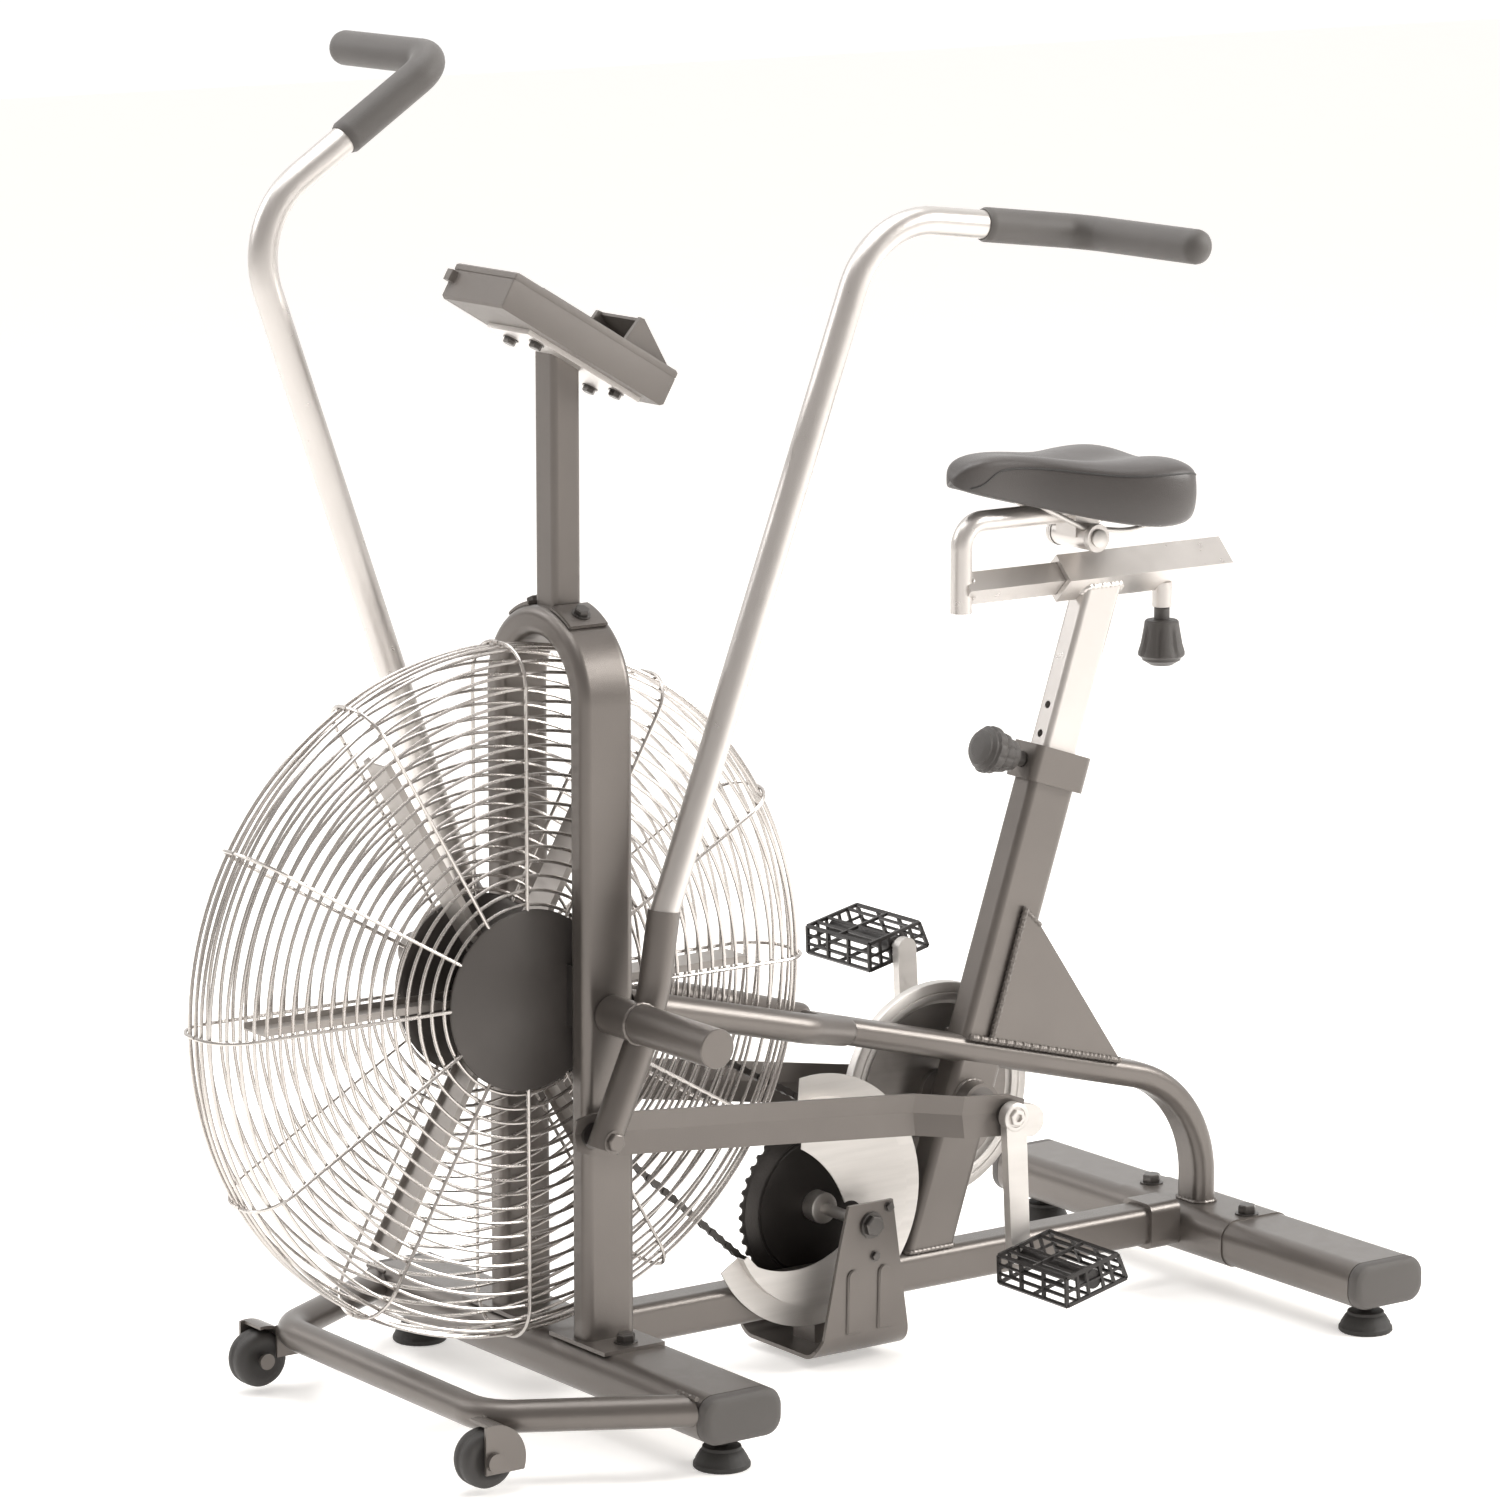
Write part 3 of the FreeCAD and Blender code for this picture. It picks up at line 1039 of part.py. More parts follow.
def seat_post():
    post_top = dim("slider_z") - 6
    length = dim("seat_post_length")
    face = Part.Face(rounded_rectangle(dim("seat_post_long"), dim("seat_post_wide"), 6))
    post = face.extrude(Vector(0, 0, length))
    start = seat_axis(post_top) - LEAN_UP * length
    post.Placement = Placement(start, LEAN_TURN)
    outer_half = dim("slider_side") / math.sqrt(2)
    tube = diamond(outer_half, dim("slider_front"), dim("slider_rear"))
    way = diamond(dim("slider_inner") / math.sqrt(2), dim("slider_front") - 5, dim("slider_rear") + 5)
    pull = LEAN_TURN.multVec(Vector(-1, 0, 0))
    post = post.cut(tube).cut(way)
    for step in range(-3, 3):
        spot = pin_at() + LEAN_UP * (30 * step)
        post = post.cut(Part.makeCylinder(dim("seat_post_hole"), 40, spot - pull * 6, pull))
    boss_z = dim("slider_z") - outer_half
    drop = dim("slide_boss_drop")
    boss = Part.makeCylinder(10, drop + 8, Vector(dim("fore_knob_x"), 0, boss_z - drop), ALONG_Z)
    pin_way = Part.makeCylinder(dim("knob_neck") + 0.1, 60, Vector(dim("fore_knob_x"), 0, boss_z - 50),
                                ALONG_Z)
    tube = tube.cut(way)
    boss = boss.cut(diamond(outer_half, 400, 600)).cut(pin_way)
    small_way = Part.makeCylinder(3.6, 60, Vector(dim("fore_knob_x"), 0, boss_z - 20), ALONG_Z)
    tube = tube.cut(small_way.common(box_between((400, -20, 600), (600, 20, dim("slider_z")))))
    node(shaped("seat_post", Part.makeCompound([post.fuse([tube, boss])])), "seat_post")


def pin_at():
    """Point on the seat tube's axis level with the height knob."""
    along = (knob_base() - seat_axis(dim("seat_foot_z"))).dot(LEAN_UP)
    return seat_axis(dim("seat_foot_z")) + LEAN_UP * along


def knobs():
    pull = LEAN_TURN.multVec(Vector(-1, 0, 0))
    gap = (knob_base() - pin_at()).Length
    turned_knob("seat_height_knob", knob_base(), pull, gap - dim("seat_post_long") / 2 - 0.6)
    boss_z = dim("slider_z") - dim("slider_side") / math.sqrt(2)
    turned_knob("seat_slide_knob", Vector(dim("fore_knob_x"), 0, boss_z - dim("slide_boss_drop") - 0.3),
                Vector(0, 0, -1), dim("slide_boss_drop") + 4)


def carriage():
    """Inner square tube with the bent stem that carries the saddle clamp."""
    half = dim("carriage_side") / math.sqrt(2)
    x = dim("carriage_front")
    stem = round_tube([Vector(x, 0, dim("slider_z") - 24), Vector(x, 0, dim("stem_tube_top")),
                       Vector(dim("stem_tube_end"), 0, dim("stem_tube_top"))],
                      [dim("stem_tube_bend")], dim("stem_tube_radius"))
    inner = diamond(half, x, dim("carriage_rear"))
    inner = inner.cut(Part.makeCylinder(dim("stem_tube_radius"), 80, Vector(x, 0, 700), ALONG_Z))
    slots = [Part.makeCylinder(4, 40, Vector(dim("fore_knob_x") + 25 * i, 0, 715), ALONG_Z)
             for i in range(-3, 2)]
    inner = inner.cut(slots[0].fuse(slots[1:]))
    node(shaped("seat_carriage", stem.fuse(inner)), "seat_carriage")


# Sections of the saddle from nose to rear: x, half width, top, lowest edge.
SADDLE_STATIONS = [
    (250, 7, 869, 861), (256, 15, 879, 857), (270, 21, 885, 854), (300, 27, 887, 845), (335, 37, 884, 835),
    (370, 57, 879, 825), (405, 79, 876, 817), (435, 92, 876, 813), (465, 97, 877, 812), (485, 92, 875, 815),
    (499, 76, 868, 824)]
# Half a section: share of the half width, share of the depth below the top.
SADDLE_SECTION = [(0, 0.03), (0.5, 0), (0.82, 0.04), (0.96, 0.15), (1, 0.4), (0.97, 0.8), (0.86, 1),
                  (0.68, 0.97), (0.45, 0.68), (0, 0.6)]


def saddle():
    x, z = 409, 798
    discs = [Part.makeCylinder(14, 7, Vector(x, between(side, 27, 7), z), ALONG_Y)
             for side in (LEFT, RIGHT)]
    yoke = Part.makeCylinder(13.5, 54, Vector(x, -27, z), ALONG_Y)
    riser = box_between((x - 15, -16, z), (x + 15, 16, dim("stem_tube_top") + 12))
    clamp = yoke.fuse([riser] + discs)
    clamp = clamp.cut(Part.makeCylinder(dim("stem_tube_radius"), 400, Vector(262, 0, dim("stem_tube_top")),
                                        ALONG_X))
    node(shaped("saddle_clamp", clamp), "saddle_clamp")
    rings = []
    for at_x, half, top, low in SADDLE_STATIONS:
        right = [Vector(at_x, half * out, top - (top - low) * down) for out, down in SADDLE_SECTION]
        left = [Vector(p.x, -p.y, p.z) for p in reversed(right[1:-1])]
        rings.append(Part.makePolygon(right + left + right[:1]))
    pad = Part.makeLoft(rings, True, True)
    clear = box_between((dim("carriage_front") - 20, -dim("stem_clear"), 700),
                        (dim("stem_tube_end") + 4, dim("stem_clear"), dim("saddle_bottom")))
    node(shaped("saddle", pad.cut(clear)), "saddle")


def frame_bolts():
    """Hexagonal bolt heads on the base plates, the rear sleeve, the arch and the bracket."""
    bolts = []
    plate_top = STABILISER_TOP + dim("plate_thick")
    for side in (LEFT, RIGHT):
        bolts.append(hex_bolt(f"plate_bolt_{side}", dim("front_foot_x") - 1, side * 106, plate_top))
        bolts.append(hex_bolt(f"sleeve_bolt_{side}", dim("rear_foot_x") - 2, side * 78, STABILISER_TOP + 1.5))
        out = Rotation(ALONG_Z, ALONG_Y * side)
        far = side * dim("jack_bracket_half")
        bolts.append(hex_bolt(f"bracket_bolt_{side}_a", 123, far, 158, out, 8, 4))
        bolts.append(hex_bolt(f"bracket_bolt_{side}_b", 106, far, 110, out, 8, 4))
    node(group("frame_bolts", bolts), "frame_bolts")


def export_all():
    doc.recompute()
    for part in doc.Objects:
        if "Invalid" in part.State or "Error" in part.State:
            raise RuntimeError(f"{part.Name} failed: {part.State}")
    bad = [label for label, part in nodes.items() if part.Shape.isNull() or not part.Shape.isValid()]
    if bad:
        raise RuntimeError(f"no valid shape: {bad}")
    os.makedirs("parts", exist_ok=True)
    for old in os.listdir("parts"):
        if old.endswith(".step") and old[:-5] not in nodes:
            os.remove(os.path.join("parts", old))
    box = None
    for label, part in nodes.items():
        part.Shape.exportStep(f"parts/{label}.step")
        print(f"{label}: {len(part.Shape.Solids)} solids, {part.Shape.Volume / 1000:.1f} cm3")
        limits = part.Shape.optimalBoundingBox(False)
        if box is None:
            box = FreeCAD.BoundBox(limits)
        else:
            box.add(limits)
    print(len(nodes), "nodes; box", box)


stabiliser("front_stabiliser", dim("front_foot_x"))
stabiliser("rear_stabiliser", dim("rear_foot_x"))
end_caps()
levelling_feet()
rail_and_sleeve()
bumper_and_wheels()
uprights()
base_plates()
console_post()
console()
for side_name, side_sign in SIDES.items():
    cage_half(side_name, side_sign)
    rod(side_name, side_sign)
    swinging_arm(side_name, side_sign)
hub_caps_and_axle()
fan()
jackshaft()
jackshaft_bracket()
jackshaft_guard()
bearings()
crank_set()
chain("fan_chain", JACK, dim("jack_large_radius") + CHAIN_CLEAR, FAN,
      dim("fan_sprocket_radius") + CHAIN_CLEAR, dim("fan_chain_y"))
chain("crank_chain", CRANK, dim("chainring_radius") + CHAIN_CLEAR, JACK,
      dim("jack_small_radius") + CHAIN_CLEAR, dim("crank_chain_y"))
arm_pivots()
seat_frame()
seat_post()
knobs()
carriage()
saddle()
frame_bolts()
export_all()
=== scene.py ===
"""Looks of the air bike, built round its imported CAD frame. Metres; X to the rear, Y right, Z up."""

import json
import math

import bmesh
import bpy
from mathutils import Matrix, Quaternion, Vector
from mathutils.bvhtree import BVHTree


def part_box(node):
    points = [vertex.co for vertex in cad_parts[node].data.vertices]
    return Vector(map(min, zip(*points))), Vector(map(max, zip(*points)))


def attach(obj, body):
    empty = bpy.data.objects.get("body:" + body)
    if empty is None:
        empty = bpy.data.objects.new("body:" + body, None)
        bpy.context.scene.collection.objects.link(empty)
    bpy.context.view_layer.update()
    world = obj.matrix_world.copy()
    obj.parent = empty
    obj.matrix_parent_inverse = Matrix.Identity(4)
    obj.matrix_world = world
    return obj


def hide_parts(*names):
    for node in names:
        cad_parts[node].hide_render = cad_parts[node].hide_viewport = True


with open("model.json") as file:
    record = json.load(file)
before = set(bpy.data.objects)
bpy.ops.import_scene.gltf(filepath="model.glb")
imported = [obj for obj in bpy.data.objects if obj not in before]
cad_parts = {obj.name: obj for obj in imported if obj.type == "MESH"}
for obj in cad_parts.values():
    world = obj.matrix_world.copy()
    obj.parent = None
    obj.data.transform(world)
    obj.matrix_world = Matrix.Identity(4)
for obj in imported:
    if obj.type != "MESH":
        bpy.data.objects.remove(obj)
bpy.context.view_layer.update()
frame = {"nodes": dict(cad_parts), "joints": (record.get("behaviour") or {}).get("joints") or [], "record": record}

MM = 0.001
SIDES = {"left": -1, "right": 1}
X_AXIS, Y_AXIS, Z_AXIS = Vector((1, 0, 0)), Vector((0, 1, 0)), Vector((0, 0, 1))
JOINTS = {joint["name"]: joint for joint in frame["joints"]}


def joint_place(name):
    """Where a joint sits, in metres."""
    return Vector(JOINTS[name]["pos_m"])


CRANK = joint_place("crank_spin")
FAN = joint_place("fan_spin")
JACK = joint_place("jackshaft_spin")


# ---------------------------------------------------------------- camera, floor, lights

def add_camera():
    """Three-quarter view from ahead of the rider's left, a little above the saddle."""
    azimuth, pitch, distance = math.radians(-35.48), math.radians(10.65), 6.0649
    target = Vector((0.0037, 0, 0.6209))
    back = Vector((math.sin(azimuth) * math.cos(pitch), -math.cos(azimuth) * math.cos(pitch),
                   math.sin(pitch)))
    data = bpy.data.cameras.new("camera")
    data.lens, data.sensor_width = 149.12, 36
    camera = bpy.data.objects.new("camera", data)
    camera.location = target + back * distance
    camera.rotation_euler = back.to_track_quat("Z", "Y").to_euler()
    bpy.context.collection.objects.link(camera)
    bpy.context.scene.camera = camera


def add_light(name, place, aim, size, power, tint=(1, 1, 1)):
    """Rectangular lamp aimed at a point."""
    data = bpy.data.lights.new(name, "AREA")
    data.shape, data.size, data.size_y = "RECTANGLE", size[0], size[1]
    data.energy, data.color = power, tint
    lamp = bpy.data.objects.new(name, data)
    lamp.location = place
    lamp.rotation_euler = (Vector(place) - Vector(aim)).to_track_quat("Z", "Y").to_euler()
    bpy.context.collection.objects.link(lamp)


def add_stage():
    """White floor and a sky that is bright behind and above the bike and dimmer to the sides."""
    world = bpy.data.worlds.new("studio")
    world.use_nodes = True
    nodes, links = world.node_tree.nodes, world.node_tree.links
    place = nodes.new("ShaderNodeTexCoord")
    toward = nodes.new("ShaderNodeVectorMath")
    toward.operation = "DOT_PRODUCT"
    toward.inputs[1].default_value = Vector((0.57, 0.80, 0.18)).normalized()
    links.new(place.outputs["Generated"], toward.inputs[0])
    ramp = nodes.new("ShaderNodeValToRGB")
    stops = ramp.color_ramp
    stops.elements[0].position, stops.elements[0].color = 0.0, (0.42, 0.40, 0.385, 1)
    stops.elements[1].position, stops.elements[1].color = 0.90, (1, 0.99, 0.975, 1)
    middle = stops.elements.new(0.55)
    middle.color = (0.72, 0.70, 0.68, 1)
    links.new(toward.outputs["Value"], ramp.inputs["Fac"])
    background = nodes["Background"]
    background.inputs["Strength"].default_value = 1.08
    links.new(ramp.outputs["Color"], background.inputs["Color"])
    bpy.context.scene.world = world
    bpy.context.scene.view_settings.view_transform = "Standard"
    add_light("key", (3.4, -2.4, 2.6), (0.1, 0, 0.4), (1.8, 1.8), 190, (1, 0.985, 0.96))
    add_light("rim", (-2.6, 2.8, 3.0), (0, 0, 0.6), (2.0, 2.0), 60)
    add_light("top", (-0.3, 0.4, 4.0), (0, 0, 0.3), (3.0, 3.0), 120)
    shape = Shape()
    half = 14
    shape.add([Vector((-half, -half, 0)), Vector((half, -half, 0)), Vector((half, half, 0)),
               Vector((-half, half, 0))], [(0, 1, 2, 3)])
    floor_shader = materials["floor"].node_tree.nodes["Principled BSDF"]
    floor_shader.inputs["Emission Color"].default_value = (1, 0.985, 0.965, 1)
    floor_shader.inputs["Emission Strength"].default_value = 0.42
    floor = shape.to_object("studio_floor", "floor")


# ---------------------------------------------------------------- materials

def surface(name, color, metallic, roughness, grain=(900, 0.02), mottle=0.06, streak=None,
            coat=0.0, sheen=0.0):
    """A procedural finish: slow colour variation, uneven gloss and fine surface grain."""
    material = bpy.data.materials.new(name)
    material.use_nodes = True
    nodes, links = material.node_tree.nodes, material.node_tree.links
    shader = nodes["Principled BSDF"]
    shader.inputs["Metallic"].default_value = metallic
    shader.inputs["Coat Weight"].default_value = coat
    shader.inputs["Coat Roughness"].default_value = 0.25
    shader.inputs["Sheen Weight"].default_value = sheen
    place = nodes.new("ShaderNodeTexCoord")
    mapping = nodes.new("ShaderNodeMapping")
    if streak:
        mapping.inputs["Scale"].default_value = streak
    links.new(place.outputs["Object"], mapping.inputs["Vector"])

    def noise(scale, detail):
        texture = nodes.new("ShaderNodeTexNoise")
        texture.inputs["Scale"].default_value = scale
        texture.inputs["Detail"].default_value = detail
        links.new(mapping.outputs["Vector"], texture.inputs["Vector"])
        return texture.outputs["Fac"]

    ramp = nodes.new("ShaderNodeValToRGB")
    ramp.color_ramp.elements[0].position, ramp.color_ramp.elements[1].position = 0.3, 0.7
    ramp.color_ramp.elements[0].color = [c * (1 - mottle) for c in color] + [1]
    ramp.color_ramp.elements[1].color = [min(1, c * (1 + mottle)) for c in color] + [1]
    links.new(noise(9, 4), ramp.inputs["Fac"])
    links.new(ramp.outputs["Color"], shader.inputs["Base Color"])
    gloss = nodes.new("ShaderNodeMapRange")
    gloss.inputs["To Min"].default_value = max(0.02, roughness - 0.06)
    gloss.inputs["To Max"].default_value = roughness + 0.06
    links.new(noise(60, 5), gloss.inputs["Value"])
    links.new(gloss.outputs["Result"], shader.inputs["Roughness"])
    bump = nodes.new("ShaderNodeBump")
    bump.inputs["Strength"].default_value = min(1.0, grain[1] * 10)
    bump.inputs["Distance"].default_value = 0.0004
    links.new(noise(grain[0], 3), bump.inputs["Height"])
    links.new(bump.outputs["Normal"], shader.inputs["Normal"])
    return material


def cellular(name, color, roughness, scale, depth, sheen=0.0):
    """Leather-like or foam-like grain: raised cells with dark creases between them."""
    material = surface(name, color, 0, roughness, (1400, 0.02), 0.08, sheen=sheen)
    nodes, links = material.node_tree.nodes, material.node_tree.links
    cells = nodes.new("ShaderNodeTexVoronoi")
    cells.feature = "DISTANCE_TO_EDGE"
    cells.inputs["Scale"].default_value = scale
    place = next(n for n in nodes if n.bl_idname == "ShaderNodeTexCoord")
    links.new(place.outputs["Object"], cells.inputs["Vector"])
    crease = nodes.new("ShaderNodeBump")
    crease.inputs["Strength"].default_value = depth
    crease.inputs["Distance"].default_value = 0.0005
    links.new(cells.outputs["Distance"], crease.inputs["Height"])
    fine = next(n for n in nodes if n.bl_idname == "ShaderNodeBump" and n is not crease)
    links.new(fine.outputs["Normal"], crease.inputs["Normal"])
    links.new(crease.outputs["Normal"], nodes["Principled BSDF"].inputs["Normal"])
    return material


# Each finish: colour, metallic, roughness, grain (scale, strength), colour variation, streak.
materials = {
    "frame_paint": surface("frame_paint", (0.15, 0.134, 0.122), 0.62, 0.33, (1600, 0.05), 0.05, coat=0.25),
    "rod_paint": surface("rod_paint", (0.15, 0.134, 0.122), 0.45, 0.42, (1500, 0.05), 0.05, coat=0.15),
    "silver_paint": surface("silver_paint", (0.60, 0.57, 0.545), 0.8, 0.30, (1500, 0.04), 0.04),
    "brushed": surface("brushed", (0.62, 0.595, 0.57), 0.85, 0.40, (420, 0.05), 0.06, (1, 1, 14)),
    "cap_plastic": surface("cap_plastic", (0.075, 0.068, 0.063), 0, 0.5, (2200, 0.09), 0.07),
    "foot_rubber": surface("foot_rubber", (0.030, 0.028, 0.026), 0, 0.6, (1800, 0.08), 0.1),
    "bolt_steel": surface("bolt_steel", (0.13, 0.122, 0.116), 0.9, 0.35, (900, 0.04), 0.12),
    "console_plastic": surface("console_plastic", (0.155, 0.138, 0.125), 0, 0.46, (2600, 0.12), 0.05),
    "display": surface("display", (0.045, 0.05, 0.047), 0, 0.12, (600, 0.01), 0.05, coat=0.6),
    "cage_wire": surface("cage_wire", (0.56, 0.53, 0.505), 0.95, 0.26, (700, 0.02), 0.05),
    "dark_trim": surface("dark_trim", (0.070, 0.062, 0.057), 0.3, 0.42, (1500, 0.05), 0.08),
    "chain_steel": surface("chain_steel", (0.09, 0.083, 0.078), 0.85, 0.34, (500, 0.05), 0.2),
    "sprocket_steel": surface("sprocket_steel", (0.055, 0.05, 0.047), 0.7, 0.38, (600, 0.05), 0.15),
    "wheel_rubber": surface("wheel_rubber", (0.035, 0.032, 0.030), 0, 0.55, (1500, 0.08), 0.1),
    "crank_metal": surface("crank_metal", (0.60, 0.575, 0.55), 0.85, 0.36, (800, 0.05), 0.05, (1, 1, 6)),
    "pedal_cage": surface("pedal_cage", (0.032, 0.029, 0.028), 0.4, 0.42, (1500, 0.06), 0.1),
    "grip_foam": cellular("grip_foam", (0.075, 0.068, 0.063), 0.62, 900, 0.35, 0.15),
    "fan_metal": surface("fan_metal", (0.36, 0.335, 0.315), 0.7, 0.38, (1200, 0.04), 0.06),
    "saddle_cover": cellular("saddle_cover", (0.060, 0.053, 0.050), 0.40, 700, 0.4, 0.1),
    "saddle_base": surface("saddle_base", (0.03, 0.028, 0.027), 0, 0.5, (1500, 0.06), 0.06),
    "knob_plastic": surface("knob_plastic", (0.058, 0.052, 0.048), 0, 0.42, (2200, 0.1), 0.06),
    "button_plastic": surface("button_plastic", (0.42, 0.40, 0.38), 0, 0.4, (2000, 0.06), 0.05),
    "disc_face": surface("disc_face", (0.27, 0.25, 0.235), 0.9, 0.36, (700, 0.05), 0.08, (1, 1, 10)),
    "floor": surface("floor", (0.93, 0.915, 0.895), 0, 0.85, (400, 0.005), 0.01),
}


def paint_frame_nodes():
    """Give each CAD node that stays visible the finish of its record slot."""
    slots = {entry["node"]: entry["material_slot"] for entry in frame["record"]["subparts"]}
    slots["jackshaft_guard"] = "brushed"
    for name, node in frame["nodes"].items():
        material = materials[slots[name]]
        if node.material_slots:
            for slot in node.material_slots:
                slot.material = material
        else:
            node.data.materials.append(material)


# ---------------------------------------------------------------- mesh building

class Shape:
    """Gathers points and faces of one piece before it becomes an object."""

    def __init__(self):
        self.points = []
        self.faces = []

    def add(self, points, faces):
        base = len(self.points)
        self.points += [Vector(p) for p in points]
        self.faces += [tuple(i + base for i in face) for face in faces]

    def rings(self, rings, closed=False, capped=True):
        """Skin over rings of equal count; closed joins the last ring to the first."""
        count = len(rings[0])
        faces = []
        spans = len(rings) if closed else len(rings) - 1
        for r in range(spans):
            a, b = r * count, (r + 1) % len(rings) * count
            for i in range(count):
                j = (i + 1) % count
                faces.append((a + i, a + j, b + j, b + i))
        if capped and not closed:
            faces.append(tuple(reversed(range(count))))
            faces.append(tuple(range((len(rings) - 1) * count, len(rings) * count)))
        self.add([p for ring in rings for p in ring], faces)

    def tube(self, path, radius, sides=10, closed=False, section=None):
        """A tube along a path. Radius may be a function of the point's index; section is in radii."""
        count = len(path)
        tangents = []
        for i in range(count):
            before = path[i - 1] if closed or i else path[i]
            after = path[(i + 1) % count] if closed or i < count - 1 else path[i]
            tangents.append((after - before).normalized())
        side = tangents[0].orthogonal().normalized()
        if abs(tangents[0].dot(Y_AXIS)) < 0.9 and section:
            side = (Y_AXIS - tangents[0] * tangents[0].dot(Y_AXIS)).normalized()
        rings = []
        for i, tangent in enumerate(tangents):
            side = (side - tangent * side.dot(tangent)).normalized()
            other = tangent.cross(side)
            size = radius(i) if callable(radius) else radius
            angles = [2 * math.pi * k / sides for k in range(sides)]
            outline = section or [(math.cos(angle), math.sin(angle)) for angle in angles]
            rings.append([path[i] + (side * u + other * v) * size for u, v in outline])
        self.rings(rings, closed)

    def lathe(self, profile, base, axis=Z_AXIS, sides=48, wobble=None):
        """Turn (radius, height) pairs in mm about an axis; wobble scales the radius at a point."""
        axis = axis.normalized()
        side = axis.orthogonal().normalized()
        other = axis.cross(side)
        rings = []
        for radius, height in profile:
            middle, ring = base + axis * (height * MM), []
            for k in range(sides):
                angle = 2 * math.pi * k / sides
                size = max(radius, 0.01) * MM * (wobble(angle, height) if wobble else 1)
                ring.append(middle + (side * math.cos(angle) + other * math.sin(angle)) * size)
            rings.append(ring)
        self.rings(rings)

    def prism(self, outline, depth):
        """A flat outline of points pushed along the vector depth."""
        self.rings([outline, [p + depth for p in outline]])

    def box(self, centre, size, turn=None):
        half = Vector(size) / 2
        corners = [Vector((sx * half.x, sy * half.y, -half.z)) for sx, sy in
                   ((-1, -1), (1, -1), (1, 1), (-1, 1))]
        turn = turn or Quaternion()
        low = [Vector(centre) + turn @ p for p in corners]
        self.prism(low, turn @ Vector((0, 0, size[2])))

    def to_object(self, name, finish, body=None, nodes=(), slot=None, crease=38, bevel=0.0, divide=0):
        """Make the mesh, ride it on its body and hide the CAD nodes it stands for."""
        mesh = bpy.data.meshes.new(name)
        mesh.from_pydata([tuple(p) for p in self.points], [], self.faces)
        work = bmesh.new()
        work.from_mesh(mesh)
        bmesh.ops.recalc_face_normals(work, faces=work.faces)
        if bevel:
            edges = [e for e in work.edges if len(e.link_faces) == 2 and e.calc_face_angle() > 0.7]
            bmesh.ops.bevel(work, geom=edges, offset=bevel, segments=2, affect="EDGES",
                            clamp_overlap=True)
        work.to_mesh(mesh)
        work.free()
        mesh.polygons.foreach_set("use_smooth", [True] * len(mesh.polygons))
        mesh.set_sharp_from_angle(angle=math.radians(crease))
        piece = bpy.data.objects.new(name, mesh)
        mesh.materials.append(materials[finish])
        bpy.context.collection.objects.link(piece)
        if divide:
            finer = piece.modifiers.new("finer", "SUBSURF")
            finer.levels = finer.render_levels = divide
        if body:
            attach(piece, body)
        if nodes:
            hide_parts(*nodes)
        return piece


def arc_path(points, bends, steps=8):
    """Straight runs through the points, with each corner rounded to its bend radius."""
    path = [points[0]]
    for i, radius in enumerate(bends, 1):
        into = (points[i] - points[i - 1]).normalized()
        out = (points[i + 1] - points[i]).normalized()
        turn = into.angle(out)
        reach = radius * math.tan(turn / 2)
        centre = points[i] + (out - into).normalized() * (radius / math.cos(turn / 2))
        first = points[i] - into * reach - centre
        axis = first.cross(points[i] + out * reach - centre).normalized()
        for k in range(steps + 1):
            path.append(centre + Quaternion(axis, turn * k / steps) @ first)
    path.append(points[-1])
    return path


def finer_path(path, step):
    """Points at an even step along a path."""
    result = [path[0]]
    for a, b in zip(path, path[1:]):
        parts = max(1, round((b - a).length / step))
        result += [a.lerp(b, (k + 1) / parts) for k in range(parts)]
    return result


def circle_path(centre, radius, axis=Y_AXIS, steps=96):
    """Points evenly round a circle about an axis."""
    side = axis.orthogonal().normalized()
    other = axis.cross(side)
    angles = [2 * math.pi * k / steps for k in range(steps)]
    return [centre + (side * math.cos(angle) + other * math.sin(angle)) * radius for angle in angles]


def rounded_outline(half_x, half_y, corner, steps):
    """Rectangle with rounded corners about the origin, as (x, y) pairs."""
    pairs = []
    for sx, sy, start in ((1, 1, 0), (-1, 1, 90), (-1, -1, 180), (1, -1, 270)):
        for k in range(steps + 1):
            angle = math.radians(start + k * 90 / steps)
            pairs.append((sx * (half_x - corner) + corner * math.cos(angle),
                          sy * (half_y - corner) + corner * math.sin(angle)))
    return pairs


def mm(*values):
    """Vector given in millimetres."""
    return Vector(values) * MM


def outward(angle):
    """Unit vector in the bike's side plane, turned upwards from the rear."""
    return Vector((math.cos(angle), 0, math.sin(angle)))


def weld_bead(shape, path, size, closed=False):
    """A hand-laid bead: a thin tube whose width (mm) rises and falls with each puddle."""
    points = finer_path(path + path[:1] if closed else path, 1.6 * MM)
    if closed:
        points.pop()
    shape.tube(points, lambda i: size * MM * (0.72 + 0.38 * abs(math.sin(i * 0.9))), 8, closed)


# ---------------------------------------------------------------- fan cage and fan

CAGE_RADIUS, CAGE_FACE, CAGE_BEND, WIRE = 340 * MM, 46 * MM, 38 * MM, 1.75 * MM
RIM_CENTRE = CAGE_RADIUS - CAGE_BEND - WIRE
SPOKES = 12
FAN_CHAIN_Y, CRANK_CHAIN_Y = 26 * MM, 52 * MM


